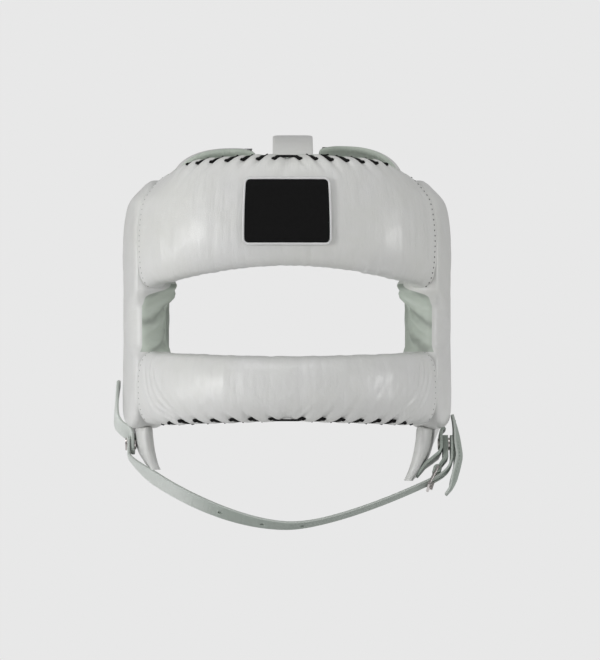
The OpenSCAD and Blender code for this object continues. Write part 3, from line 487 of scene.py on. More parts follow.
def stuffed(grids):
    """Cloth run of all pads together: each grid swells under pressure while its seams stay put."""
    objects = {}
    for name, grid in grids.items():
        obj = grid_object("stuffing_" + name, grid["points"], closed_u=grid["closed"])
        pin = obj.vertex_groups.new(name="seams")
        for index, hold in enumerate(grid["pin"].reshape(-1)):
            if hold > 0:
                pin.add([index], float(hold), "REPLACE")
        cloth = obj.modifiers.new("cloth", "CLOTH")
        cloth.settings.quality = 4
        cloth.settings.mass = 0.4
        cloth.settings.tension_stiffness = 60
        cloth.settings.compression_stiffness = 30
        cloth.settings.shear_stiffness = 15
        cloth.settings.bending_stiffness = 6
        cloth.settings.vertex_group_mass = "seams"
        cloth.settings.use_pressure = True
        cloth.settings.uniform_pressure_force = PRESSURE
        cloth.settings.effector_weights.gravity = 0
        cloth.collision_settings.use_collision = False
        cloth.point_cache.frame_start = 1
        cloth.point_cache.frame_end = LAST_FRAME
        objects[name] = obj
    for step in range(1, LAST_FRAME + 1):
        scene.frame_set(step)
    depsgraph = bpy.context.evaluated_depsgraph_get()
    result = {}
    for name, obj in objects.items():
        mesh = obj.evaluated_get(depsgraph).data
        moved = np.empty(len(mesh.vertices) * 3)
        mesh.vertices.foreach_get("co", moved)
        start = grids[name]["points"]
        shift = moved.reshape(start.shape) / MM - start
        length = np.linalg.norm(shift, axis=-1, keepdims=True)
        allowed = grids[name]["most"][..., None] / np.maximum(length, 1e-6)
        result[name] = start + shift * np.minimum(1, allowed)
    scene.frame_set(1)
    for obj in objects.values():
        bpy.data.objects.remove(obj, do_unlink=True)
    return result


def wrap_turn(t, centre):
    """Degrees from a section's turn to a chosen one, the short way."""
    return (t - centre + 180) % 360 - 180


def near_turn(t, centre, reach):
    """True where a section's turn is within reach of a chosen one."""
    return np.abs(wrap_turn(t, centre)) < reach


def arc_across(points, t, centres):
    """Millimetres along each section from its seam, positive with the turn."""
    ring = np.concatenate([points, points[:, :1]], axis=1)
    steps = np.linalg.norm(np.diff(ring, axis=1), axis=2)
    run = np.concatenate([np.zeros((points.shape[0], 1)), np.cumsum(steps, axis=1)], axis=1)
    whole = run[:, -1:]
    turns = np.append(t, t[0] + 360)
    start = np.array([np.interp((centre - t[0]) % 360 + t[0], turns, row)
                      for centre, row in zip(centres, run)])
    away = run[:, :-1] - start[:, None]
    return (away + whole / 2) % whole - whole / 2


# Grids of the pads before stuffing
START_INSET = 1.1
SEAM_INSET = 0.15
SEAM_OVERLAP = 0.5
BROW_LOW_SEAM = 241
SIDE_EDGE_SEAM = 21
SIDE_EAR_SEAM = 160
BROW_GRID = (168, 88)
BAR_GRID = (196, 72)
SIDE_GRID = (196, 68)
FLAP_GRID = (20, 40)
BACK_GRID = (30, 40)

PAD_END = BAND_END + SEAM_OVERLAP
brow_phi = np.linspace(-PAD_END, PAD_END, BROW_GRID[0])[:, None]
brow_t = even_turns(BROW_GRID[1], 16, 38, BROW_POWER)[None, :]
bar_phi = np.linspace(-PAD_END, PAD_END, BAR_GRID[0])[:, None]
bar_t = even_turns(BAR_GRID[1], 18, 23, BAR_POWER)[None, :]
side_alpha = (np.arange(SIDE_GRID[0]) / SIDE_GRID[0] * 360)[:, None]
side_t = even_turns(SIDE_GRID[1], 34, 15.5, 3)[None, :]
flap_k = (sin_d(90 * np.linspace(0, 1, FLAP_GRID[0])) * 0.985)[:, None]
flap_t = even_turns(FLAP_GRID[1], 28, 5.5, 3)[None, :]
back_k = np.linspace(0, 1, BACK_GRID[0])[:, None]
back_t = even_turns(BACK_GRID[1], 7, 23, 3)[None, :]


def band_inset(phi):
    """Less inset near a band's sewn ends, so that its leather meets the side pads' flush."""
    return mix(SEAM_INSET, START_INSET, smooth(0, 5, PAD_END - np.abs(phi)))


def beside_seam(alpha, t, points_z):
    """One on a side pad's front edge where the brow or the bar is sewn to it, none beside the eyes."""
    in_slot = smooth(-34, -29, points_z) * (1 - smooth(4, 14, points_z))
    return smooth(0.3, 0.75, -cos_d(alpha)) * smooth(0.02, 0.35, cos_d(t)) * (1 - in_slot)


def pins(near, ends):
    """Pin weights: full at the seams and the ends, none in the open leather."""
    return np.clip(np.maximum(near, ends), 0, 1)


def end_hold(shape):
    """Full hold on a grid's first two and last two rows."""
    hold = np.zeros(shape)
    hold[:2] = 1
    hold[-2:] = 1
    return hold


side_rest = side_point(side_alpha, side_t, START_INSET)
side_flush = beside_seam(side_alpha, side_t, side_rest[..., 2])
side_rest = side_point(side_alpha, side_t, mix(START_INSET, SEAM_INSET, side_flush))

grids = {
    "brow": {
        "points": brow_point(brow_phi, brow_t, band_inset(brow_phi)),
        "pin": pins(near_turn(brow_t, brow_seam(brow_phi), 4) + near_turn(brow_t, BROW_LOW_SEAM, 4),
                    end_hold(BROW_GRID)),
        "closed": False, "most": 2.0 * smooth(0, 8, PAD_END - np.abs(brow_phi)) + 0 * brow_t},
    "bar": {
        "points": bar_point(bar_phi, bar_t, band_inset(bar_phi)),
        "pin": pins(near_turn(bar_t, bar_seam(bar_phi), 5), end_hold(BAR_GRID)),
        "closed": False, "most": 2.0 * smooth(0, 8, PAD_END - np.abs(bar_phi)) + 0 * bar_t},
    "side": {
        "points": side_rest,
        "pin": pins(near_turn(side_t, SIDE_EDGE_SEAM, 5) + near_turn(side_t, SIDE_EAR_SEAM, 5)
                    + 0 * side_alpha, smooth(0.2, 0.8, side_flush)),
        "closed": True, "most": 2.0 * (1 - side_flush)},
}
# How far each jaw flap stands off, its length and how far its tip is drawn in
FLAPS = {"left": (15, 28, 7.5), "right": (11, 36, 11.5)}
for side, (stand, length, pull) in FLAPS.items():
    grids["flap_" + side] = {
        "points": flap_point(flap_k, flap_t, stand, length, pull, 0.6),
        "pin": pins(near_turn(flap_t, 0, 8) + near_turn(flap_t, 180, 8) + 0 * flap_k, end_hold(FLAP_GRID)),
        "closed": False, "most": np.full(FLAP_GRID, 1.0)}
# Lower and upper height of the back's pads
BACKS = {"back": (40, 88), "nape": (-80, -37)}
for name, (low, high) in BACKS.items():
    grids[name] = {
        "points": back_point(back_k, back_t, low, high, 0.8),
        "pin": pins(0 * back_k + 0 * back_t, end_hold(BACK_GRID)),
        "closed": False, "most": np.full(BACK_GRID, 1.4)}

pads = stuffed(grids)


def rounded_top(points):
    """Lowers and rounds the padding's upper corners at the sides of the head."""
    phi = np.degrees(np.arctan2(np.abs(points[..., 0]), -points[..., 1]))
    z = points[..., 2]
    at_side = smooth(28, 50, phi) * (1 - smooth(100, 125, phi))
    here, inner, outer = (np.linalg.norm(place[..., :2], axis=-1)
                          for place in (points, around(phi, z, 0.0), around(phi, z, 1.0)))
    share = np.clip((here - inner) / (outer - inner), 0, 1)
    pull = 6 * at_side * smooth(76, 97, z) * share
    outward = unit(points * np.array([1, 1, 0]))
    drop = 4.5 * at_side * smooth(55, 97, z)
    return points - outward * pull[..., None] - np.stack([0 * z, 0 * z, drop], axis=-1)


pads["brow"] = rounded_top(pads["brow"])
pads["side"] = rounded_top(pads["side"])
pads["side"][..., 2] -= 1.4 * smooth(70, 90, pads["side"][..., 2])


# Sewn folds, put in after the stuffing
def folded(points, height, closed_u=False):
    """Moves a pad's skin out by a height at each point."""
    normals = grid_normals(points, closed_u)
    centre = points.mean(axis=1, keepdims=True)
    if (normals * (points - centre)).sum() < 0:
        normals = -normals
    return points + normals * height[..., None]


END_DEPTH = 0.35


def end_rounding(shape):
    """A band's last two rows drawn in a little, where it is sewn to the side pads."""
    step = np.minimum(np.arange(shape[0]), np.arange(shape[0])[::-1])[:, None]
    return -END_DEPTH * np.clip(1 - step / 2, 0, 1) ** 2 + np.zeros(shape)


def soft_dents(points):
    """Shallow irregular dents of hand stuffed leather, in millimetres."""
    x, y, z = points[..., 0], points[..., 1], points[..., 2]
    broad = ripple(0.13 * x + 0.05 * z, 1.1) * ripple(0.11 * z - 0.06 * x + 0.04 * y, 2.7)
    fine = ripple(0.31 * x - 0.12 * z, 0.3) * ripple(0.27 * z + 0.15 * x, 3.9)
    return 0.45 * broad + 0.22 * fine


MM_AT_FRONT = 2.2

brow_across = arc_across(pads["brow"], brow_t[0], brow_seam(brow_phi[:, 0]))
brow_run = brow_phi * MM_AT_FRONT
brow_height = seam_puckers(brow_phi, brow_across, lace_pitch(BROW_STITCHES, SEAM_ANGLE - 3), 1)
brow_low_across = arc_across(pads["brow"], brow_t[0], 268 + 0 * brow_phi[:, 0])
low_wrinkles = ripple(brow_run * 0.9 + 0.05 * brow_low_across, 3.1)
brow_height += 0.35 * low_wrinkles * np.exp(-(brow_low_across / 14) ** 2)
brow_height += 0.22 * ripple(brow_run * 0.35, 0.4) * smooth(8, 30, np.abs(brow_across))
brow_height = brow_height * smooth(0, 3, PAD_END - np.abs(brow_phi)) + end_rounding(BROW_GRID)
brow_height += soft_dents(pads["brow"]) * smooth(0, 4, PAD_END - np.abs(brow_phi))
brow_skin = folded(pads["brow"], brow_height)

PLEAT_STEP = 5.2
PLEAT_SHIFT = 44
PLEAT_REACH = 22

bar_across = arc_across(pads["bar"], bar_t[0], bar_seam(bar_phi[:, 0]))
bar_from_end = (BAND_END - np.abs(bar_phi)) * MM_AT_FRONT
pleat_line = (bar_from_end - PLEAT_SHIFT * np.exp(-np.abs(bar_across) / PLEAT_REACH)) / PLEAT_STEP
pleat_zone = smooth(-0.6, 0.2, pleat_line) * (1 - smooth(2.4, 4.0, pleat_line))
pleat_zone *= 1 - smooth(45, 62, np.abs(bar_across))
pleat_phase = pleat_line - np.floor(pleat_line)
pleats = -np.exp(-((pleat_phase - 0.5) / 0.2) ** 2) * pleat_zone
bar_height = seam_puckers(bar_phi, bar_across, lace_pitch(BAR_STITCHES, SEAM_ANGLE - 4), -1)
bar_height += (1.1 + 0.7 * np.exp(-np.abs(bar_across) / 25)) * pleats * (bar_across > -30)
bar_height += 0.25 * ripple(bar_phi * 0.8, 2.2) * smooth(8, 30, np.abs(bar_across))
bar_height = bar_height * smooth(0, 3, PAD_END - np.abs(bar_phi)) + end_rounding(BAR_GRID)
bar_height += soft_dents(pads["bar"]) * smooth(0, 4, PAD_END - np.abs(bar_phi))
bar_skin = folded(pads["bar"], bar_height)

side_z = pads["side"][..., 2]
side_front = np.maximum(-cos_d(side_alpha), 0)
slot_zone = smooth(-44, -34, side_z) * (1 - smooth(22, 32, side_z)) * smooth(0.55, 0.9, side_front)
lining_zone = smooth(10, 40, np.abs(wrap_turn(side_t, 90)) - 60)
side_depth = pads["side"][..., 1] * -0.75
fold_wave = ripple(side_z * 0.55 + side_depth * 0.7, 0.9)
side_height = 2.1 * slot_zone * lining_zone * (np.abs(fold_wave) ** 0.7 * np.sign(fold_wave) - 0.2)
flare_above = 5 * smooth(-2, 13, side_z) * (1 - smooth(16, 26, side_z))
flare_below = 2.5 * smooth(18, 30, -side_z) * (1 - smooth(34, 44, -side_z))
side_height += lining_zone * side_front * (flare_above + flare_below)
side_height += soft_dents(pads["side"]) * (1 - side_flush)
side_height += 0.2 * ripple(side_alpha * 0.25, 1.3) * (1 - slot_zone)
side_seams = sum(np.exp(-(wrap_turn(side_t, seam) / 5) ** 2) for seam in (SIDE_EDGE_SEAM, SIDE_EAR_SEAM))
side_height -= 0.5 * side_seams * (1 - side_flush)
side_skin = folded(pads["side"], side_height, True)


# Materials
def new_group(name, inputs, outputs):
    """Shader node group with named inputs, each a (kind, name, value), and outputs."""
    group = bpy.data.node_groups.new(name, "ShaderNodeTree")
    for kind, label, value in inputs:
        socket = group.interface.new_socket(label, in_out="INPUT", socket_type=kind)
        if value is not None:
            socket.default_value = value
    for kind, label in outputs:
        group.interface.new_socket(label, in_out="OUTPUT", socket_type=kind)
    return group, group.nodes.new("NodeGroupInput"), group.nodes.new("NodeGroupOutput")


def join(tree, source, target):
    tree.links.new(source, target)


def math_node(tree, operation, a, b=None, clamp=False):
    node = tree.nodes.new("ShaderNodeMath")
    node.operation = operation
    node.use_clamp = clamp
    for socket, value in zip(node.inputs, (a, b)):
        if value is None:
            continue
        if hasattr(value, "is_output"):
            join(tree, value, socket)
        else:
            socket.default_value = value
    return node.outputs[0]


def plus(tree, a, b):
    return math_node(tree, "ADD", a, b)


def minus(tree, a, b):
    return math_node(tree, "SUBTRACT", a, b)


def times(tree, a, b, clamp=False):
    return math_node(tree, "MULTIPLY", a, b, clamp)


def parts_of(tree, vector):
    """The X, Y and Z of a vector."""
    node = tree.nodes.new("ShaderNodeSeparateXYZ")
    join(tree, vector, node.inputs[0])
    return node.outputs


def noise(tree, vector, scale, detail=3.0, roughness=0.55, stretch=None):
    node = tree.nodes.new("ShaderNodeTexNoise")
    node.inputs["Scale"].default_value = scale
    node.inputs["Detail"].default_value = detail
    node.inputs["Roughness"].default_value = roughness
    if stretch:
        mapping = tree.nodes.new("ShaderNodeMapping")
        mapping.inputs["Scale"].default_value = stretch
        join(tree, vector, mapping.inputs["Vector"])
        vector = mapping.outputs["Vector"]
    join(tree, vector, node.inputs["Vector"])
    return node.outputs["Fac"]


def colour_mix(tree, factor, a, b):
    node = tree.nodes.new("ShaderNodeMix")
    node.data_type = "RGBA"
    for socket, value in ((node.inputs["Factor"], factor), (node.inputs["A"], a), (node.inputs["B"], b)):
        if hasattr(value, "is_output"):
            join(tree, value, socket)
        else:
            socket.default_value = value
    return node.outputs["Result"]


def leather_group():
    """Grain, drawn creases along the hide with painted shade darkening them, and a slow change of tone, for
    every leather here.
    """
    tree, given, out = new_group("leather_surface", [
        ("NodeSocketVector", "Place", None),
        ("NodeSocketVector", "Run", None),
        ("NodeSocketColor", "Tone", (0.8, 0.8, 0.8, 1)),
        ("NodeSocketColor", "Second Tone", (0.7, 0.7, 0.7, 1)),
        ("NodeSocketFloat", "Roughness", 0.4),
        ("NodeSocketFloat", "Creases", 0.5),
        ("NodeSocketFloat", "Grain", 0.5),
        ("NodeSocketFloat", "Patches", 0.5)],
        [("NodeSocketColor", "Colour"), ("NodeSocketFloat", "Roughness"), ("NodeSocketFloat", "Height")])
    place = given.outputs["Place"]
    run = given.outputs["Run"]
    patches = noise(tree, place, 14, 4, 0.6)
    fine_tone = noise(tree, place, 70, 3, 0.6)
    all_patches = plus(tree, patches, times(tree, fine_tone, 0.35))
    tone_mix = times(tree, all_patches, given.outputs["Patches"], clamp=True)
    creases = noise(tree, run, 1.0, 4, 0.62, stretch=(330, 34, 1))
    broad_creases = noise(tree, run, 1.0, 2, 0.5, stretch=(120, 16, 1))
    cells = tree.nodes.new("ShaderNodeTexVoronoi")
    cells.feature = "DISTANCE_TO_EDGE"
    cells.inputs["Scale"].default_value = 950
    join(tree, place, cells.inputs["Vector"])
    grain = times(tree, math_node(tree, "MINIMUM", cells.outputs["Distance"], 0.2), given.outputs["Grain"])
    crease_sum = plus(tree, creases, times(tree, broad_creases, 1.3))
    crease_height = times(tree, crease_sum, given.outputs["Creases"])
    height = plus(tree, crease_height, times(tree, grain, 0.9))
    # Painted shade: the leather's colour is darkened in the creases' valleys, where the bump sinks.
    crease_shade_paint = times(tree, minus(tree, 0.52, creases), 0.9, clamp=True)
    toned = colour_mix(tree, tone_mix, given.outputs["Tone"], given.outputs["Second Tone"])
    darker = tree.nodes.new("ShaderNodeHueSaturation")
    darker.inputs["Value"].default_value = 0.80
    join(tree, toned, darker.inputs["Color"])
    shade = times(tree, crease_shade_paint, given.outputs["Creases"])
    join(tree, colour_mix(tree, shade, toned, darker.outputs["Color"]), out.inputs["Colour"])
    rough = plus(tree, given.outputs["Roughness"], times(tree, minus(tree, creases, 0.5), 0.25))
    join(tree, rough, out.inputs["Roughness"])
    join(tree, height, out.inputs["Height"])
    return tree


def weave_group():
    """Over and under threads in two ways, for the laces and the woven patch."""
    tree, given, out = new_group("woven_threads", [
        ("NodeSocketVector", "Run", None),
        ("NodeSocketColor", "Thread", (0.02, 0.02, 0.02, 1)),
        ("NodeSocketColor", "Worn Thread", (0.06, 0.06, 0.06, 1)),
        ("NodeSocketFloat", "Threads Per Metre", 1500)],
        [("NodeSocketColor", "Colour"), ("NodeSocketFloat", "Height")])
    parts = parts_of(tree, given.outputs["Run"])
    turns = times(tree, given.outputs["Threads Per Metre"], math.pi)
    warp = math_node(tree, "SINE", times(tree, parts["X"], turns))
    weft = math_node(tree, "SINE", times(tree, parts["Y"], turns))
    height = math_node(tree, "ABSOLUTE", times(tree, warp, weft))
    worn = noise(tree, given.outputs["Run"], 420, 3)
    share = times(tree, worn, height)
    tone = colour_mix(tree, share, given.outputs["Thread"], given.outputs["Worn Thread"])
    join(tree, tone, out.inputs["Colour"])
    join(tree, height, out.inputs["Height"])
    return tree


LEATHER_GROUP = leather_group()
WEAVE_GROUP = weave_group()


def new_material(name):
    material = bpy.data.materials.new(name)
    material.use_nodes = True
    tree = material.node_tree
    return material, tree, tree.nodes["Principled BSDF"]


def coordinates(tree):
    node = tree.nodes.new("ShaderNodeTexCoord")
    return node.outputs["Object"], node.outputs["UV"]


def surfaced(tree, shader, group, values, bump):
    """Adds a surface group with its values, and joins its colour and its height to the shader."""
    surface = tree.nodes.new("ShaderNodeGroup")
    surface.node_tree = group
    for label, value in values.items():
        surface.inputs[label].default_value = value
    join(tree, coordinates(tree)[1], surface.inputs["Run"])
    join(tree, surface.outputs["Colour"], shader.inputs["Base Color"])
    bumps = tree.nodes.new("ShaderNodeBump")
    bumps.inputs["Distance"].default_value = bump
    join(tree, surface.outputs["Height"], bumps.inputs["Height"])
    join(tree, bumps.outputs["Normal"], shader.inputs["Normal"])
    return surface


def leather(name, tone, second_tone, roughness, creases, grain, patches, bump=0.0004, coat=0.0):
    material, tree, shader = new_material(name)
    surface = surfaced(tree, shader, LEATHER_GROUP, {
        "Tone": (*tone, 1), "Second Tone": (*second_tone, 1), "Roughness": roughness,
        "Creases": creases, "Grain": grain, "Patches": patches}, bump)
    join(tree, coordinates(tree)[0], surface.inputs["Place"])
    join(tree, surface.outputs["Roughness"], shader.inputs["Roughness"])
    shader.inputs["Coat Weight"].default_value = coat
    shader.inputs["Coat Roughness"].default_value = 0.27
    shader.inputs["IOR"].default_value = 1.5
    return material


def woven(name, thread, worn_thread, threads, roughness=0.8):
    material, tree, shader = new_material(name)
    surfaced(tree, shader, WEAVE_GROUP, {
        "Thread": (*thread, 1), "Worn Thread": (*worn_thread, 1), "Threads Per Metre": threads}, 0.0003)
    shader.inputs["Roughness"].default_value = roughness
    shader.inputs["Specular IOR Level"].default_value = 0.2
    return material


def leather_tones(material):
    """Sockets of a leather's two tones."""
    surface = next(node for node in material.node_tree.nodes if node.type == "GROUP")
    return surface.inputs["Tone"], surface.inputs["Second Tone"]


def hard(name, tone, roughness, metallic=0.0, wear=0.06):
    """Metal, enamel or nylon with fine wear in its gloss."""
    material, tree, shader = new_material(name)
    place = coordinates(tree)[0]
    worn = noise(tree, place, 900, 4, 0.7)
    rough = plus(tree, times(tree, worn, wear * 2), roughness - wear)
    join(tree, rough, shader.inputs["Roughness"])
    darker = tuple(c * 0.72 for c in tone)
    mottled = colour_mix(tree, noise(tree, place, 260, 3), (*tone, 1), (*darker, 1))
    join(tree, mottled, shader.inputs["Base Color"])
    shader.inputs["Metallic"].default_value = metallic
    return material


# Painted light on the strap's leathers: where it starts and how fast it grows towards the left.
LIT_FROM_X = -0.042
LIT_PER_METRE = 28


def painted_light_left(material, tones, lit_tones):
    """Paints light into a leather: paler towards the headgear's left side, where it catches the light."""
    tree = material.node_tree
    parts = parts_of(tree, coordinates(tree)[0])
    share = times(tree, minus(tree, LIT_FROM_X, parts["X"]), LIT_PER_METRE, clamp=True)
    for socket, tone, lit_colour in zip(leather_tones(material), tones, lit_tones):
        join(tree, colour_mix(tree, share, (*tone, 1), (*lit_colour, 1)), socket)
    return material


STRAP_TONES = (linear(178, 186, 178), linear(150, 161, 153))
LIT_STRAP_TONES = (linear(226, 230, 226), linear(206, 212, 207))
# The strap's leathers carry painted light, paler towards the left.
strap_leather = painted_light_left(leather("strap_leather", *STRAP_TONES, 0.5, 0.7, 0.9, 0.8, bump=0.0006),
                           STRAP_TONES, LIT_STRAP_TONES)
edge_leather = leather("cut_leather_edge", linear(205, 210, 205), linear(180, 187, 181), 0.7, 0.4, 0.9, 0.8)


LINING_TOP = 0.018
LINING_LOW = -0.030
LINING_SLOPE = 1.5
EDGE_PER_METRE = 1500
edge_run = mean_run(side_skin, 1)
SIDE_ROUND = float(edge_run[-1] * SIDE_GRID[1] / (SIDE_GRID[1] - 1))
SIDE_SEAM_RUN = float(np.interp(SIDE_EDGE_SEAM, side_t[0], edge_run))


def slot_mask(tree, place, run):
    """One on the lining beside the eyes, none on the white leather above, below and outside it."""
    z = parts_of(tree, place)["Z"]
    way = parts_of(tree, run)["Y"]
    wrapped = times(tree, math_node(tree, "GREATER_THAN", way, SIDE_ROUND / 2), SIDE_ROUND)
    turn = minus(tree, way, wrapped)
    past = math_node(tree, "MAXIMUM", minus(tree, turn, SIDE_SEAM_RUN - 0.010), 0.0)
    top = minus(tree, LINING_TOP, times(tree, past, LINING_SLOPE))
    below = times(tree, minus(tree, top, z), EDGE_PER_METRE, clamp=True)
    above = times(tree, plus(tree, z, -LINING_LOW), EDGE_PER_METRE, clamp=True)
    return times(tree, below, above)


def fold_shaded_tone(tree, place, tone):
    """Lining tone with painted shade: darker diagonal folds."""
    parts = parts_of(tree, place)
    slope = minus(tree, times(tree, parts["Z"], 300), times(tree, parts["Y"], 260))
    wave = math_node(tree, "SINE", plus(tree, slope, times(tree, noise(tree, place, 60, 2), 5)))
    fold_shade_share = math_node(tree, "POWER", times(tree, plus(tree, wave, 1), 0.5), 4)
    fold_shade_tone = tuple(c * 0.5 for c in tone)
    return colour_mix(tree, times(tree, fold_shade_share, 0.7), (*tone, 1), (*fold_shade_tone, 1))


def edged_leather(name, white_tones, lining_tones):
    """White leather that meets the eye slot's lining along a sewn line."""
    material = leather(name, *white_tones, 0.45, 0.7, 0.35, 0.75, bump=0.0007, coat=0.1)
    tree = material.node_tree
    place, run = coordinates(tree)
    mask = slot_mask(tree, place, run)
    for socket, white, lining in zip(leather_tones(material), white_tones, lining_tones):
        # The lining's colour beside the eyes carries painted shade in diagonal folds.
        join(tree, colour_mix(tree, mask, (*white, 1), fold_shaded_tone(tree, place, lining)), socket)
    return material


WHITE_TONES = (linear(224, 224, 226), linear(210, 211, 204))
LINING_TONES = (linear(204, 211, 200), linear(176, 187, 177))
white_leather = leather("white_leather", *WHITE_TONES, 0.42, 0.6, 0.35, 0.75, bump=0.0007, coat=0.3)
lining_leather = leather("lining_leather", *LINING_TONES, 0.6, 1.2, 0.5, 0.8, bump=0.0009)
slot_leather = edged_leather("slot_edge_leather", WHITE_TONES, LINING_TONES)
lace_cloth = woven("black_lace", (0.004, 0.004, 0.004), (0.016, 0.016, 0.016), 1100)
patch_cloth = woven("black_patch", (0.003, 0.003, 0.003), (0.012, 0.012, 0.013), 2600, roughness=0.9)
border_thread = woven("white_border_thread", linear(250, 250, 250), linear(238, 238, 238), 1800)
# Needle holes' dark dots: painted shade of the holes.
hole_shade_paint = hard("needle_holes", linear(84, 88, 86), 0.9)
thread_grey = hard("grey_thread", linear(160, 164, 160), 0.8)
nickel = hard("nickel_plate", linear(214, 208, 206), 0.22, 1.0)
enamel = hard("black_enamel", (0.012, 0.012, 0.012), 0.3)
nylon = hard("nylon", linear(228, 226, 218), 0.5)


# Rows of stitches, made by one node tree along any line
def stitch_tree():
    tree = bpy.data.node_groups.new("stitch_row", "GeometryNodeTree")
    for kind, label, way in (
            ("NodeSocketGeometry", "Line", "INPUT"),
            ("NodeSocketFloat", "Spacing", "INPUT"),
            ("NodeSocketFloat", "Length", "INPUT"),
            ("NodeSocketFloat", "Thickness", "INPUT"),
            ("NodeSocketMaterial", "Thread", "INPUT"),
            ("NodeSocketGeometry", "Stitches", "OUTPUT")):
        tree.interface.new_socket(label, in_out=way, socket_type=kind)
    given = tree.nodes.new("NodeGroupInput")
    out = tree.nodes.new("NodeGroupOutput")
    curve = tree.nodes.new("GeometryNodeMeshToCurve")
    resample = tree.nodes.new("GeometryNodeResampleCurve")
    resample.mode = "LENGTH"
    ball = tree.nodes.new("GeometryNodeMeshUVSphere")
    ball.inputs["Segments"].default_value = 8
    ball.inputs["Rings"].default_value = 5
    ball.inputs["Radius"].default_value = 0.5
    size = tree.nodes.new("ShaderNodeCombineXYZ")
    place = tree.nodes.new("GeometryNodeInstanceOnPoints")
    tangent = tree.nodes.new("GeometryNodeInputTangent")
    turn = tree.nodes.new("FunctionNodeAlignRotationToVector")
    turn.axis = "X"
    realize = tree.nodes.new("GeometryNodeRealizeInstances")
    paint = tree.nodes.new("GeometryNodeSetMaterial")
    for source, target in (
            (given.outputs["Line"], curve.inputs[0]),
            (curve.outputs[0], resample.inputs["Curve"]),
            (given.outputs["Spacing"], resample.inputs["Length"]),
            (resample.outputs[0], place.inputs["Points"]),
            (ball.outputs[0], place.inputs["Instance"]),
            (tangent.outputs[0], turn.inputs["Vector"]),
            (turn.outputs[0], place.inputs["Rotation"]),
            (given.outputs["Length"], size.inputs["X"]),
            (given.outputs["Thickness"], size.inputs["Y"]),
            (given.outputs["Thickness"], size.inputs["Z"]),
            (size.outputs[0], place.inputs["Scale"]),
            (place.outputs[0], realize.inputs[0]),
            (realize.outputs[0], paint.inputs["Geometry"]),
            (given.outputs["Thread"], paint.inputs["Material"]),
            (paint.outputs[0], out.inputs[0])):
        join(tree, source, target)
    return tree


STITCHES = stitch_tree()


def stitch_row(name, lines, spacing, length, thickness, material, body, slot):
    """Stitches along lines of points in millimetres, as one plain mesh on one body."""
    mesh = bpy.data.meshes.new(name)
    points = []
    edges = []
    for line in lines:
        start = len(points)
        points += [tuple(p * MM) for p in np.asarray(line)]
        edges += [(k, k + 1) for k in range(start, len(points) - 1)]
    mesh.from_pydata(points, edges, [])
    guide = new_object(name + "_line", mesh)
    modifier = guide.modifiers.new("stitches", "NODES")
    modifier.node_group = STITCHES
    values = {"Spacing": spacing * MM, "Length": length * MM,
              "Thickness": thickness * MM, "Thread": material}
    for item in STITCHES.interface.items_tree:
        if item.item_type == "SOCKET" and item.name in values:
            modifier[item.identifier] = values[item.name]
    made = final_mesh(guide)
    made.name = name
    bpy.data.objects.remove(guide, do_unlink=True)
    finish_piece(new_object(name, made), body, slot)


# The pads' pieces
LEATHER_SIDE = (-119, BROW_SEAM + 1)
SLOT_LOW = -42
SLOT_HIGH = 26


def brow_face(i, j):
    """White leather outside the brow's seams, lining towards the head."""
    return 0 if LEATHER_SIDE[0] < wrap_turn(brow_t[0, j % BROW_GRID[1]], 0) < LEATHER_SIDE[1] else 1


def side_face(i, j):
    """White leather outside, lining towards the head, and the slot's leather beside the eyes."""
    turn = wrap_turn(side_t[0, j % SIDE_GRID[1]], 90)
    row = i % SIDE_GRID[0]
    z = side_rest[row, j % SIDE_GRID[1], 2]
    if side_front[row, 0] > 0.5 and SLOT_LOW < z < SLOT_HIGH and -135 < turn < -69:
        return 2
    return 0 if -125 < turn < 70 else 1


pad_piece("brow_pad", brow_skin, 0.8, (white_leather, lining_leather),
          ("brow_cover", "brow_foam", "brow_lining"), face_material=brow_face)
pad_piece("bar_pad", bar_skin, 0.9, (white_leather,), ("bar_cover", "bar_foam"))
for side in SIDES:
    pad_piece("side_pad_" + side, on_side(side_skin, side), 0.8,
              (white_leather, lining_leather, slot_leather),
              ("side_cover_" + side, "side_foam_" + side, "side_lining_" + side),
              closed_u=True, face_material=side_face)
    flap = pads["flap_" + side]
    creased = folded(flap, 0.25 * ripple(flap[..., 1] * 0.5 + flap[..., 2] * 0.22, 0.7))
    pad_piece("jaw_flap_leather_" + side, on_side(creased, side), 0.6, (white_leather,),
              ("jaw_flap_" + side, "jaw_foam_" + side))
    for name in BACKS:
        pad_piece(name + "_pad_leather_" + side, on_side(pads[name], side), 0.7, (white_leather,),
                  (name + "_pad_" + side, name + "_foam_" + side))


# Whip laces along the brow and the bar, drawn into the leather at each stitch
LACE_SINK = 1.5
LACE_REACH = 3.6


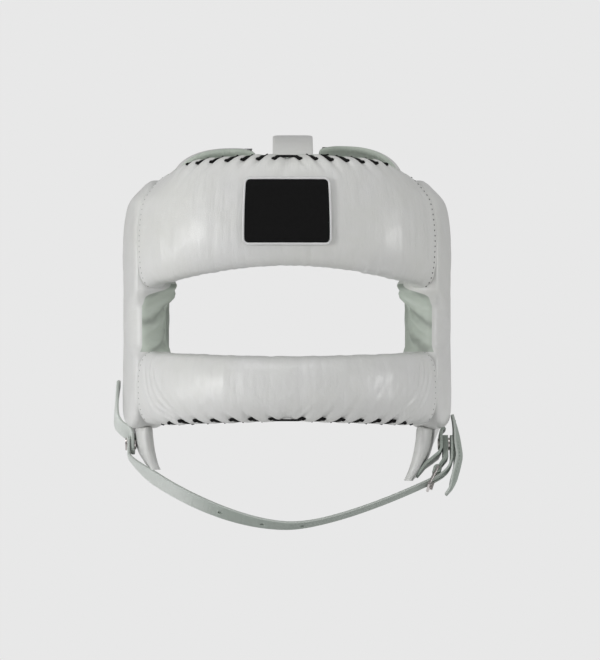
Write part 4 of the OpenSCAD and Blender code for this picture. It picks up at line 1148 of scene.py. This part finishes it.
def whip_lace(name, node, point, seam, stitches, half_angle, slant):
    """Flat lace wound over a band's seam, from its middle stitch to both ends."""
    half = stitches // 2 * LACE_STEPS
    count = (half - 1) / LACE_STEPS
    turns = np.linspace(0, count, int(count * 20) + 1)
    angle = MIDDLE_STITCH + (half_angle - MIDDLE_STITCH) * turns / count
    swing = 90 + 360 * turns
    flat = np.linspace(-MIDDLE_STITCH, MIDDLE_STITCH, 9)[1:-1]
    phi = np.concatenate([-angle[::-1], flat, angle])
    swing = np.concatenate([swing[::-1], 90 + 0 * flat, swing])
    t = seam(phi)
    p = point(phi, t)
    across = unit(point(phi, t + 3) - point(phi, t - 3))
    ahead = unit(point(phi + 1, seam(phi + 1)) - p)
    normal = unit(np.cross(ahead, across))
    middle = (point(phi, 0 * phi + 90) + point(phi, 0 * phi - 90)) / 2
    normal *= np.sign((normal * (p - middle)).sum(-1, keepdims=True))
    centre = p - normal * SKIN / 2
    depth = (SKIN + LACE_T) / 2 + 0.1
    out = depth * sin_d(swing) - LACE_SINK * smooth(-0.2, 0.6, sin_d(swing))
    out = np.where(sin_d(swing) < 0, 1.6 * out, out)
    aside = slant * LACE_REACH * cos_d(swing)
    path = rounded_top(centre + across * aside[:, None] + normal * out[:, None])
    tilt = slant * cos_d(swing) / LACE_REACH
    face = unit(across * tilt[:, None] + normal * (sin_d(swing) / depth)[:, None])
    along = unit(np.gradient(path, axis=0))
    wide = unit(np.cross(face, along))
    half_width = np.full(len(path), LACE_W / 2)
    lace = leather_band(name, path, wide, unit(np.cross(along, wide)), half_width, LACE_T)
    finish_piece(lace, GUARD, "lace", lace_cloth, replaces=(node,))


whip_lace("brow_whip_lace", "brow_lace", brow_point, brow_seam, BROW_STITCHES, SEAM_ANGLE - 3, 1)
whip_lace("bar_whip_lace", "bar_lace", bar_point, bar_seam, BAR_STITCHES, SEAM_ANGLE - 4, -1)


# Plain patch on the brow
PATCH_W = 58
PATCH_H = 43
PATCH_MID = 65.5
PATCH_T = 1.2
PATCH_CORNER = 3.5
STRAIGHT_STEPS = 14
CORNER_STEPS = 8


def patch_surface(x, z, lift):
    """Point over the brow pad at a distance to the side and a height, lifted off its leather."""
    phi = np.degrees(np.arcsin(x / (HEAD_FRONT + BROW_T)))
    for _ in range(4):
        here = brow_point(phi, 0 * phi)
        phi = phi + np.degrees((x - here[..., 0]) / (HEAD_FRONT + BROW_T))
    low = brow_floor(phi)
    high = brow_roof(phi)
    rise = np.clip((z - (low + high) / 2) / ((high - low) / 2), -0.999, 0.999)
    t = np.degrees(np.arcsin(np.sign(rise) * np.abs(rise) ** (BROW_POWER / 2)))
    return band_point(phi, t, low, high, 0, 1, -lift, BROW_POWER)


def patch_outline(inset):
    """Rounded rectangle, as x and height round its middle."""
    w = PATCH_W / 2 - inset
    h = PATCH_H / 2 - inset
    corner = max(PATCH_CORNER - inset, 0.4)
    x = []
    z = []
    for quarter, (sx, sz) in enumerate(((1, 1), (-1, 1), (-1, -1), (1, -1))):
        turn = 90 * quarter + np.linspace(0, 90, CORNER_STEPS)
        x.append(sx * (w - corner) + corner * cos_d(turn))
        z.append(sz * (h - corner) + corner * sin_d(turn))
        run = np.linspace(0, 1, STRAIGHT_STEPS + 2)[1:-1]
        if quarter % 2 == 0:
            x.append(mix(sx, -sx, run) * (w - corner))
            z.append(np.full(STRAIGHT_STEPS, sz * h))
        else:
            x.append(np.full(STRAIGHT_STEPS, sx * w))
            z.append(mix(sz, -sz, run) * (h - corner))
    return np.concatenate(x), np.concatenate(z)


def patch_ring(inset, lift):
    x, z = patch_outline(inset)
    return patch_surface(x, PATCH_MID + z, lift)


patch_rings = [(0.5, -0.2), (0, 0.3), (0.15, PATCH_T)]
patch_rings += [(inset, PATCH_T + 0.25) for inset in (1, 3, 6, 10, 14, 18, 20.6)]
patch = grid_object("brow_patch_cloth", np.array([patch_ring(*ring) for ring in patch_rings]))
uv = patch.data.uv_layers["run"].data
for loop in patch.data.loops:
    spot = patch.data.vertices[loop.vertex_index].co
    uv[loop.index].uv = (spot.x, spot.z)
finish_piece(patch, GUARD, "patch", patch_cloth, replaces=("brow_patch",))
border_rings = [patch_ring(0.1 - 0.85 * cos_d(turn), 0.9 + 1.0 * sin_d(turn))
                for turn in np.linspace(0, 360, 9)[:-1]]
border = grid_object("brow_patch_border", np.array(border_rings), closed_u=True)
finish_piece(border, GUARD, "patch", border_thread)


# Crown: strap over the head, two flaps and the lace that draws them together
CROWN_W = 28
CROWN_T = 3
CROWN_OFF = 4
TONGUE_T = 2.5
TONGUE_DROP = 3
back_corner = around(np.array(180.0 - BACK_OPEN), 0.0, back_share)
FACING_Y = back_corner[1] + 0.3
FACING_OUT = back_corner[0] - 3
TONGUE_Y = FACING_Y - 4.1 - TONGUE_T
crown_front_z = BROW_HIGH - 28
crown_front = around(0.0, crown_front_z, 0.0)[1] + 0.3 + CROWN_T / 2
tongue_dip = TONGUE_DROP * ((CROWN_W / 2 + CROWN_OFF) / (FACING_OUT - 2)) ** 2
crown_back = TONGUE_Y - tongue_dip - 0.3 - CROWN_T / 2
crown_top = CROWN_HIGH - CROWN_T / 2
crown_k = np.linspace(0, 1, 60)
CROWN_RISE = [[crown_front, crown_front_z], [crown_front + 3, crown_top - 2],
              [-60, crown_top], [0, crown_top]]
CROWN_FALL = [[0, crown_top], [40, crown_top], [crown_back, crown_top - 8], [crown_back, 82]]
crown_line = np.concatenate([bezier(CROWN_RISE, crown_k), bezier(CROWN_FALL, crown_k)[1:]])
crown_centres = np.stack([np.full(len(crown_line), CROWN_OFF), crown_line[:, 0], crown_line[:, 1]], axis=1)
crown_along = unit(np.gradient(crown_centres, axis=0))
crown_ups = np.stack([0 * crown_along[:, 0], -crown_along[:, 2], crown_along[:, 1]], axis=1)
crown_wides = np.tile([1.0, 0, 0], (len(crown_line), 1))
crown_half = np.full(len(crown_line), CROWN_W / 2)
finish_piece(leather_band("crown_strap_leather", crown_centres, crown_wides, crown_ups, crown_half, CROWN_T),
             GUARD, "leather", white_leather, replaces=("crown_strap",))

CROWN_FLAP_T = 5
CROWN_FLAP_IN = 23
CROWN_REACH = 1.5
CROWN_EDGE_Z = 84
CROWN_RIDGE_Z = 112.5
CROWN_FRONT_END = 55
CROWN_BACK_END = 58
CROWN_RIDGE_X = CROWN_FLAP_IN + 14
CROWN_COLUMNS = 30
LEFT_FLAP_SAG = 2


def crown_edge_x(y):
    lean = LEAN_IN * ((CROWN_EDGE_Z - LEAN_FROM) / LEAN_SPAN) ** 2
    bow = (1 - (np.abs(y) / HEAD_BACK) ** HEAD_POWER) ** (1 / HEAD_POWER)
    return HEAD_W / 2 * bow - lean + CROWN_REACH - 0.3 - CROWN_FLAP_T / 2


def crown_point(k, s, level):
    """Point of the right crown flap: across it, along it and at a share of its thickness."""
    y = np.where(s < 0, CROWN_FRONT_END, CROWN_BACK_END) * s * mix(1, 0.86, k * k)
    a = 90 * np.maximum(1 - k / 0.75, 0)
    wide = crown_edge_x(y) - CROWN_RIDGE_X
    high = CROWN_RIDGE_Z - CROWN_EDGE_Z
    inner = np.maximum(k - 0.75, 0) / 0.25
    x = CROWN_RIDGE_X + wide * bend(sin_d(a), 2.5) - inner * (CROWN_RIDGE_X - CROWN_FLAP_IN)
    z = CROWN_EDGE_Z + high * bend(cos_d(a), 2.5) - 2 * inner * inner + 1.7 - 3 * ((y + 10) / 60) ** 2
    normal = unit(np.stack(np.broadcast_arrays(sin_d(a) * high, 0 * y, cos_d(a) * wide + 0.001), axis=-1))
    return np.stack(np.broadcast_arrays(x, y, z), axis=-1) + normal * (CROWN_FLAP_T * level)[..., None]


crown_s = np.linspace(-1, 1, 44)[:, None]
crown_edge = (1 - np.abs(crown_s) ** 5) ** 0.25 * 0.85 + 0.15
crown_across = np.linspace(0, 1, CROWN_COLUMNS)[None, :]
crown_rim = np.concatenate([[0.3, 0.75], np.ones(CROWN_COLUMNS - 4), [0.75, 0.3]])[None, :]
crown_level = crown_edge * crown_rim / 2
crown_over = crown_point(crown_across, crown_s, crown_level)
crown_under = crown_point(crown_across, crown_s, -crown_level)[:, ::-1]
crown_flap = np.concatenate([crown_over, crown_under], axis=1)


def left_sagged(points):
    """Lowers what lies on the left crown flap, more towards its front."""
    sag = LEFT_FLAP_SAG * smooth(6, 36, -points[..., 1]) * smooth(-12, 12, -points[..., 0])
    return points - np.stack([0 * sag, 0 * sag, sag], axis=-1)


def crown_face(i, j):
    """White leather on a crown flap's upper side, lining beneath."""
    return 0 if j % (2 * CROWN_COLUMNS) < CROWN_COLUMNS - 1 else 1


crown_edge_line = smooth_path([crown_point(np.array(k), np.array(-1.0), np.array(0.0))
                               for k in np.linspace(0.02, 1, 9)])
for side in SIDES:
    flap = grid_object("crown_flap_" + side + "_leather", left_sagged(on_side(crown_flap, side)),
                       face_material=crown_face)
    finish_piece(flap, GUARD, "leather", white_leather, lining_leather,
                 replaces=("crown_flap_" + side,), padded=0.4)
    line = left_sagged(on_side(crown_edge_line, side))
    finish_piece(tube("crown_flap_roll_" + side, line, 2.3, 14), GUARD, "lining", lining_leather)

CROWN_EYELET_X = CROWN_FLAP_IN + 6
CROWN_ROWS = (-36, -12, 12, 36)
crown_eyelet_k = 0.75 + 0.25 * (CROWN_RIDGE_X - CROWN_EYELET_X) / (CROWN_RIDGE_X - CROWN_FLAP_IN)
crown_route = []
for i, y in enumerate(CROWN_ROWS):
    way = 1 if i % 2 == 0 else -1
    hole_x = way * CROWN_EYELET_X
    inside_x = way * (CROWN_EYELET_X - 0.3)
    under_x = way * (CROWN_EYELET_X - 2.5)
    end = CROWN_FRONT_END if y < 0 else CROWN_BACK_END
    flap_z = crown_point(np.array(crown_eyelet_k), np.array(y / end), np.array(0.0))[2]
    over = flap_z + CROWN_FLAP_T / 2 - 0.8
    under = flap_z - CROWN_FLAP_T / 2 - 1.2
    if i > 0:
        crown_route += [(-hole_x, y - 4, over), (-hole_x, y - 0.8, over - 0.4)]
    crown_route += [(-inside_x, y + 0.3, flap_z), (-under_x, y + 0.8, under),
                    (0, y + 1, under - 0.3), (under_x, y + 0.8, under)]
    if i < len(CROWN_ROWS) - 1:
        crown_route += [(inside_x, y + 0.3, flap_z), (hole_x, y + 1.4, over - 0.4), (hole_x, y + 5, over)]
crown_lacing = tube("crown_lacing", left_sagged(smooth_path(crown_route)), 0.95, 12)
finish_piece(crown_lacing, GUARD, "lace", lace_cloth, replaces=("crown_lace",))

# The crown's eyelets, pressed into the flaps as these lie here
EYELET_SINK = 1.0
eyelet_mesh = nodes_of_frame["crown_eyelets"].data.copy()
eyelet_mesh.materials.clear()
eyelet_points = np.empty(len(eyelet_mesh.vertices) * 3)
eyelet_mesh.vertices.foreach_get("co", eyelet_points)
eyelet_points = left_sagged(eyelet_points.reshape(-1, 3) / MM)
eyelet_points[:, 2] -= EYELET_SINK + 3 * ((eyelet_points[:, 1] + 10) / 60) ** 2
eyelet_mesh.vertices.foreach_set("co", (eyelet_points * MM).reshape(-1))
eyelet_rings = new_object("crown_eyelet_rings", eyelet_mesh)
finish_piece(eyelet_rings, GUARD, "eyelet", enamel, replaces=("crown_eyelets",))


# Lacing at the back
EYELET_X = FACING_OUT - 19 + 5
LACE_OUT = FACING_Y + 2.4 + 2.4
LACE_IN = FACING_Y - 2.4


def eyelet_rows(low, high):
    return [mix(low + 3 + 7, high - 4 - 7, k / 2) for k in range(3)]


def lace_turn(x, z, start, end):
    return [(x, mix(start, end, k / 4), z) for k in range(5)]


def lacing(name, node, low, high):
    """Round lace through three rows of eyelets, with its ends lying on the facings."""
    rows = eyelet_rows(low, high)
    route = [(EYELET_X + 9, LACE_OUT, rows[2] - 13), (EYELET_X + 4, LACE_OUT, rows[2] - 4)]
    for k in (2, 1, 0):
        route += lace_turn(EYELET_X, rows[k], LACE_OUT, LACE_IN) + [(0, LACE_IN, rows[k])]
        route += lace_turn(-EYELET_X, rows[k], LACE_IN, LACE_OUT)
        if k:
            route.append((0, LACE_OUT, mix(rows[k - 1], rows[k], 0.5)))
    route += [(-EYELET_X - 4, LACE_OUT, rows[0] - 1), (-EYELET_X - 9, LACE_OUT, rows[0] - 3)]
    lace = tube(name, smooth_path(route, 0.9), 1.3, 12)
    finish_piece(lace, GUARD, "lace", lace_cloth, replaces=(node,))


lacing("back_lacing", "back_lace", *BACKS["back"])
lacing("nape_lacing", "nape_lace", *BACKS["nape"])


def unwrap(mesh):
    """UV map in metres from each face's own widest way."""
    layer = mesh.uv_layers.new(name="run") if not mesh.uv_layers else mesh.uv_layers[0]
    for face in mesh.polygons:
        drop = max(range(3), key=lambda axis: abs(face.normal[axis]))
        keep = [axis for axis in range(3) if axis != drop]
        for loop in face.loop_indices:
            spot = mesh.vertices[mesh.loops[loop].vertex_index].co
            layer.data[loop].uv = (spot[keep[0]], spot[keep[1]])


EDGE_ANGLE = 28


def softened(node, name, width, body, slot, material):
    """A CAD piece's shape with its loose triangles joined and its edges rounded."""
    mesh = nodes_of_frame[node].data.copy()
    mesh.materials.clear()
    work = bmesh.new()
    work.from_mesh(mesh)
    bmesh.ops.remove_doubles(work, verts=work.verts, dist=1e-6)
    bmesh.ops.dissolve_limit(work, angle_limit=math.radians(0.5), verts=work.verts, edges=work.edges)
    work.to_mesh(mesh)
    work.free()
    mesh.name = name
    obj = new_object(name, mesh)
    bevel = obj.modifiers.new("edge", "BEVEL")
    bevel.width = width * MM
    bevel.segments = 3
    bevel.limit_method = "ANGLE"
    bevel.angle_limit = math.radians(EDGE_ANGLE)
    unwrap(mesh)
    mesh.polygons.foreach_set("use_smooth", [True] * len(mesh.polygons))
    finish_piece(obj, body, slot, material, replaces=(node,))


for row in BACKS:
    for side in SIDES:
        facing = row + "_facing_" + side
        softened(facing, facing + "_leather", 0.6, GUARD, "leather", white_leather)


def tongue(node, low, high):
    """Curved leather behind the lacing, between two heights."""
    half = FACING_OUT - 2
    x = np.linspace(-half, half, 26)
    centres_y = TONGUE_Y + TONGUE_T / 2 - TONGUE_DROP * (x / half) ** 2
    centres = np.stack([x, centres_y, np.full(len(x), (low + high) / 2)], axis=1)
    along = unit(np.gradient(centres, axis=0))
    wides = np.tile([0.0, 0, 1], (len(x), 1))
    ups = unit(np.cross(wides, along))
    half_height = np.full(len(x), (high - low) / 2)
    finish_piece(leather_band(node + "_leather", centres, wides, ups, half_height, TONGUE_T),
                 GUARD, "lining", lining_leather, replaces=(node,))


tongue("back_tongue", 38, 92)
tongue("nape_tongue", *BACKS["nape"])


# Chin strap, its tab and the buckle's leathers
LEATHER_GAP = 0.3
PIVOT_TUCK = 11.6
ANCHOR_X = HEAD_W / 2 + SIDE_T - PIVOT_TUCK
TAB_T = 2.4
TAB_X = ANCHOR_X + TAB_T / 2
STRAP_X = TAB_X + TAB_T / 2 + LEATHER_GAP + STRAP_T / 2
SIDE_REACH = PIVOT_TUCK + 0.3 + 1.35
FREE_END_X = STRAP_X + 4.9
HOLE_D = 3.6


def hanging(points):
    """Turns points drawn straight below the pivots into the strap's resting lean."""
    lean = math.radians(-STRAP_LEAN)
    y = points[..., 1] * math.cos(lean) - points[..., 2] * math.sin(lean)
    z = points[..., 1] * math.sin(lean) + points[..., 2] * math.cos(lean)
    return np.stack([points[..., 0], y - PIVOT_FWD, z - PIVOT_DROP], axis=-1)


strap_low = (2, -STRAP_DROP)
strap_rise = (STRAP_X - 8.2, -26)
STRAP_LEFT = [(-STRAP_X, -9), (8.7 - STRAP_X, -22), (-0.41 * STRAP_X, -STRAP_DROP + 0.2), strap_low]
STRAP_RIGHT = [strap_low, (0.25 * STRAP_X, -STRAP_DROP + 0.3), (0.65 * STRAP_X, -41), strap_rise]
STRAP_FREE = [strap_rise, (STRAP_X - 0.2, -22), (FREE_END_X, -18), (FREE_END_X, -8)]
strap_line = np.concatenate([
    np.stack([np.full(12, -STRAP_X), np.linspace(5.2, -8.2, 12)], axis=1),
    bezier(STRAP_LEFT, np.linspace(0, 1, 70))[:-1],
    bezier(STRAP_RIGHT, np.linspace(0, 1, 60))[:-1],
    bezier(STRAP_FREE, np.linspace(0, 1, 30)),
    np.stack([np.full(9, FREE_END_X), np.linspace(-7, 6, 9)], axis=1)])
strap_centres = np.stack([strap_line[:, 0], 0 * strap_line[:, 0], strap_line[:, 1]], axis=1)
strap_along = unit(np.gradient(strap_centres, axis=0))
strap_run = travelled(strap_centres)
twist = -19 * smooth(12, 40, strap_run) * (1 - smooth(-70, 30, strap_line[:, 0]))
strap_face = np.stack([strap_along[:, 2], 0 * twist, -strap_along[:, 0]], axis=1)
flat_way = np.array([0, 1, 0])
strap_wides = flat_way * cos_d(twist)[:, None] - strap_face * sin_d(twist)[:, None]
strap_ups = strap_face * cos_d(twist)[:, None] + flat_way * sin_d(twist)[:, None]
strap_end = np.minimum(strap_run, strap_run[-1] - strap_run)
strap_half = STRAP_W / 2 * np.sqrt(np.clip(1 - (1 - np.clip(strap_end / 6.5, 0, 1)) ** 2, 0.05, 1))


def carried(centres, wides, ups, transform):
    """Centres and directions after a rigid turn."""
    moved = transform(centres)
    return moved, transform(centres + wides) - moved, transform(centres + ups) - moved


def punched(obj, cuts, depth):
    """Cuts holes and slots through a leather piece, each a centre, axis, way along, length and width."""
    work = bmesh.new()
    for centre, axis, along, length, width in cuts:
        side = unit(np.cross(axis, along))
        turn = np.linspace(0, 360, 25)[:-1] + 7.5
        shift = np.sign(cos_d(turn)) * (length - width) / 2
        ring = (centre + np.outer(shift + width / 2 * cos_d(turn), along)
                + np.outer(width / 2 * sin_d(turn), side))
        low = [work.verts.new(Vector((p - axis * depth / 2) * MM)) for p in ring]
        high = [work.verts.new(Vector((p + axis * depth / 2) * MM)) for p in ring]
        work.faces.new(low[::-1])
        work.faces.new(high)
        for k in range(len(ring)):
            n = (k + 1) % len(ring)
            work.faces.new((low[k], low[n], high[n], high[k]))
    bmesh.ops.recalc_face_normals(work, faces=work.faces)
    mesh = bpy.data.meshes.new("punch")
    work.to_mesh(mesh)
    work.free()
    punch = new_object("punch", mesh)
    cut = obj.modifiers.new("holes", "BOOLEAN")
    cut.operation = "DIFFERENCE"
    cut.object = punch
    cut.solver = "EXACT"
    obj.data = final_mesh(obj)
    obj.data.set_sharp_from_angle(angle=math.radians(40))
    bpy.data.objects.remove(punch, do_unlink=True)


STRAP_HOLES = (-46, -18, 10)
SLOT_TURN = 30
SLOT_LENGTH = 10
SLOT_WIDTH = 3.4
strap_place = carried(strap_centres, strap_wides, strap_ups, hanging)
strap_obj = leather_band("chin_strap_leather", *strap_place, strap_half, STRAP_T, edges=True)
cuts = []
for hole_x in STRAP_HOLES:
    row = [int(np.argmin(np.abs(strap_line[:, 0] - hole_x) + 100 * (strap_line[:, 1] > -30)))]
    centre, wide, up = carried(strap_centres[row], strap_wides[row], strap_ups[row], hanging)
    cuts.append((centre[0], up[0], wide[0], HOLE_D, HOLE_D))
slot_at = np.array([[STRAP_X - 5.8, 0, -24.7]])
slot_up = np.array([[-sin_d(SLOT_TURN), 0, cos_d(SLOT_TURN)]])
slot_way = np.array([[cos_d(SLOT_TURN), 0, sin_d(SLOT_TURN)]])
centre, way, up = carried(slot_at, slot_way, slot_up, hanging)
cuts.append((centre[0], up[0], way[0], SLOT_LENGTH, SLOT_WIDTH))
pivot_at = np.array([[-STRAP_X, 0.0, 0.0]])
centre, way, up = carried(pivot_at, np.array([[0.0, 1, 0]]), np.array([[1.0, 0, 0]]), hanging)
cuts.append((centre[0], up[0], way[0], HOLE_D, HOLE_D))
punched(strap_obj, cuts, 3 * STRAP_T)
finish_piece(strap_obj, STRAP, "strap", strap_leather, edge_leather, replaces=("chin_strap",))

# The tab's line from its upper to its lower end: out, back and up from the pivot, and its face's turn
TAB_ROWS = np.array([
    [SIDE_REACH - 0.7, 39, 41.5, 4], [SIDE_REACH, 36, 38, 5], [SIDE_REACH, 22, 27, 10],
    [SIDE_REACH - 0.4, 13, 19.5, 12], [SIDE_REACH - 1.6, 8.4, 14.6, 9], [SIDE_REACH - 6, 5.2, 9.8, 4],
    [0, 3, 6.8, 0], [0, 1, 2, 0], [0, -0.5, -4.8, 0], [0, -1, -6.4, 0]])
TAB_WIDTHS = np.array([0.5, 1, 1, 1, 1, 1, 1, 1, 0.9, 0.5])
tab_path = np.array([-TAB_X, -PIVOT_FWD, -PIVOT_DROP]) + TAB_ROWS[:, :3] * np.array([-1, 1, 1])
tab_step = travelled(tab_path)
tab_fine = np.linspace(0, tab_step[-1], 60)
tab_drawn = np.stack([np.interp(tab_fine, tab_step, tab_path[:, axis]) for axis in range(3)], axis=1)
tab_centres = eased(tab_drawn, 4)
tab_turn = np.interp(tab_fine, tab_step, TAB_ROWS[:, 3])
tab_half = STRAP_W / 2 * np.interp(tab_fine, tab_step, TAB_WIDTHS)
tab_along = unit(np.gradient(tab_centres, axis=0))
tab_out = np.stack([-cos_d(tab_turn), -sin_d(tab_turn), 0 * tab_turn], axis=1)
tab_wides = unit(np.cross(tab_out, tab_along))
tab_ups = unit(np.cross(tab_along, tab_wides))
finish_piece(leather_band("strap_tab_leather", tab_centres, tab_wides, tab_ups, tab_half, TAB_T, edges=True),
             GUARD, "strap", strap_leather, edge_leather, replaces=("strap_tab",))

softened("buckle_backing", "buckle_backing_leather", 0.5, GUARD, "strap", strap_leather)
softened("buckle_loop", "buckle_loop_leather", 0.35, STRAP, "strap", strap_leather)

# The buckle guard: points of its middle line beside the strap's free end, and its widths there
GUARD_T = 2.2
GUARD_SPINE = ((0.9, 21), (1.9, 16), (3, 11), (4.2, 4), (5.1, -4),
               (5.7, -11), (4.5, -17.5), (2.5, -24.5), (-0.7, -31.5), (-4.6, -36.5))
GUARD_WIDTHS = (5, 11, 17, 23, 28, 30, 28, 22, 14, 6)
guard_spine = smooth_path([(FREE_END_X + x, 0, z) for x, z in GUARD_SPINE], 1.5)
guard_share = np.linspace(0, 9, len(guard_spine))
guard_half = eased(np.interp(guard_share, range(10), GUARD_WIDTHS) / 2, 3)
guard_along = unit(np.gradient(guard_spine, axis=0))
guard_ups = np.stack([-guard_along[:, 2], 0 * guard_share, guard_along[:, 0]], axis=1)
guard_wides = np.tile([0.0, 1, 0], (len(guard_spine), 1))
guard_centres, guard_wides, guard_ups = carried(guard_spine, guard_wides, guard_ups, hanging)
guard_dome = 5.5 * smooth(3, 13, guard_half)
guard_centres = guard_centres - guard_ups * (0.6 * guard_dome)[:, None]
buckle_guard = leather_band("buckle_guard_leather", guard_centres, guard_wides, guard_ups, guard_half,
                            GUARD_T, crown=guard_dome, edges=True)
finish_piece(buckle_guard, GUARD, "strap", strap_leather, edge_leather, replaces=("buckle_guard",))
guard_aside = (guard_half - 2)[:, None]
guard_raised = guard_centres + guard_ups * (1.2 + guard_dome * 0.22)[:, None]
guard_stitches = [(guard_raised + guard_wides * (way * guard_aside))[3:-3] for way in (-1, 1)]
stitch_row("buckle_guard_stitches", guard_stitches, 2.6, 1.7, 0.7, thread_grey, GUARD, "strap")


# Needle holes along the sewn seams between the brow, the bar and the side pads, as dots: real holes whose
# darkness is painted shade
def seam_row(skin, t, row, low, high):
    """The skin's outer points along one row of its grid, from one turn of its section to another."""
    turns = wrap_turn(t[0], (low + high) / 2)
    order = np.argsort(turns)
    kept = order[np.abs(turns[order]) < (high - low) / 2]
    return skin[row, kept]


stitch_row("needle_holes_right", [seam_row(brow_skin, brow_t, -4, -78, 74)], 3.6, 1.2, 0.9, hole_shade_paint,
           GUARD, "leather")
faint_lines = [seam_row(brow_skin, brow_t, 3, -78, 74), seam_row(bar_skin, bar_t, 3, -60, 78),
               seam_row(bar_skin, bar_t, -4, -60, 78)]
stitch_row("needle_holes_faint", faint_lines, 3.6, 1.0, 0.6, thread_grey, GUARD, "leather")

# CAD pieces that keep their own shape
KEPT = {"bar_rod": nylon, "back_eyelets": enamel, "nape_eyelets": enamel,
        "tab_rivet": nickel, "loop_rivet": nickel, "buckle_frame": nickel, "buckle_prong": nickel}
for node, material in KEPT.items():
    data = nodes_of_frame[node].data
    data.materials.clear()
    data.materials.append(material)


# Stage, light and camera
def seen_ray(tree):
    """One for camera, glossy and transmission rays, which see the plain background."""
    path = tree.nodes.new("ShaderNodeLightPath")
    first = math_node(tree, "MAXIMUM", path.outputs["Is Camera Ray"], path.outputs["Is Glossy Ray"])
    return math_node(tree, "MAXIMUM", first, path.outputs["Is Transmission Ray"])


def blended(tree, share, first, second, out):
    """Joins a mix of two shaders to a tree's output."""
    blend = tree.nodes.new("ShaderNodeMixShader")
    join(tree, share, blend.inputs["Fac"])
    join(tree, first.outputs[0], blend.inputs[1])
    join(tree, second.outputs[0], blend.inputs[2])
    join(tree, blend.outputs[0], out.inputs["Surface"])


def plain_floor():
    mesh = bpy.data.meshes.new("floor")
    corners = [(x * FLOOR_HALF, y * FLOOR_HALF, FLOOR_Z) for x, y in ((-1, -1), (1, -1), (1, 1), (-1, 1))]
    mesh.from_pydata(corners, [], [(0, 1, 2, 3)])
    floor = new_object("floor", mesh)
    material = bpy.data.materials.new("pale_floor")
    material.use_nodes = True
    tree = material.node_tree
    tree.nodes.clear()
    diffuse = tree.nodes.new("ShaderNodeBsdfDiffuse")
    diffuse.inputs["Color"].default_value = (0.72, 0.72, 0.72, 1)
    glow = tree.nodes.new("ShaderNodeEmission")
    glow.inputs["Color"].default_value = (BACKGROUND, BACKGROUND, BACKGROUND, 1)
    away = tree.nodes.new("ShaderNodeVectorMath")
    away.operation = "LENGTH"
    join(tree, coordinates(tree)[0], away.inputs[0])
    fade = times(tree, minus(tree, away.outputs["Value"], 0.45), 1.2, clamp=True)
    plain = math_node(tree, "MAXIMUM", fade, 0.86)
    share = times(tree, seen_ray(tree), plain)
    blended(tree, share, diffuse, glow, tree.nodes.new("ShaderNodeOutputMaterial"))
    floor.data.materials.append(material)


def soft_world():
    world = bpy.data.worlds.new("studio")
    scene.world = world
    world.use_nodes = True
    tree = world.node_tree
    tree.nodes.clear()
    fill = tree.nodes.new("ShaderNodeBackground")
    fill.inputs["Color"].default_value = (1, 1, 1, 1)
    fill.inputs["Strength"].default_value = WORLD_STRENGTH
    seen = tree.nodes.new("ShaderNodeBackground")
    seen.inputs["Color"].default_value = (BACKGROUND, BACKGROUND, BACKGROUND, 1)
    camera_ray = tree.nodes.new("ShaderNodeLightPath").outputs["Is Camera Ray"]
    blended(tree, camera_ray, fill, seen, tree.nodes.new("ShaderNodeOutputWorld"))


def softbox(name, place, target, size, power):
    light = bpy.data.lights.new(name, "AREA")
    light.shape = "RECTANGLE"
    light.size = size[0]
    light.size_y = size[1]
    light.energy = power
    obj = new_object(name, light)
    obj.location = place
    obj.rotation_euler = (Vector(target) - Vector(place)).to_track_quat("-Z", "Y").to_euler()


def photo_camera():
    data = bpy.data.cameras.new("photo_camera")
    data.lens = LENS
    data.sensor_width = SENSOR
    data.sensor_fit = "AUTO"
    data.shift_x = (PHOTO_CENTRE_X - OBJECT_CENTRE_X) / PHOTO_H
    camera = new_object("photo_camera", data)
    camera.location = (0, -CAMERA_DISTANCE, CAMERA_HEIGHT)
    camera.rotation_euler = (math.radians(90), 0, 0)
    scene.camera = camera


plain_floor()
soft_world()
for name, light in LIGHTS.items():
    softbox(name, *light)
photo_camera()
scene.view_settings.view_transform = "Standard"

scene.frame_set(1)
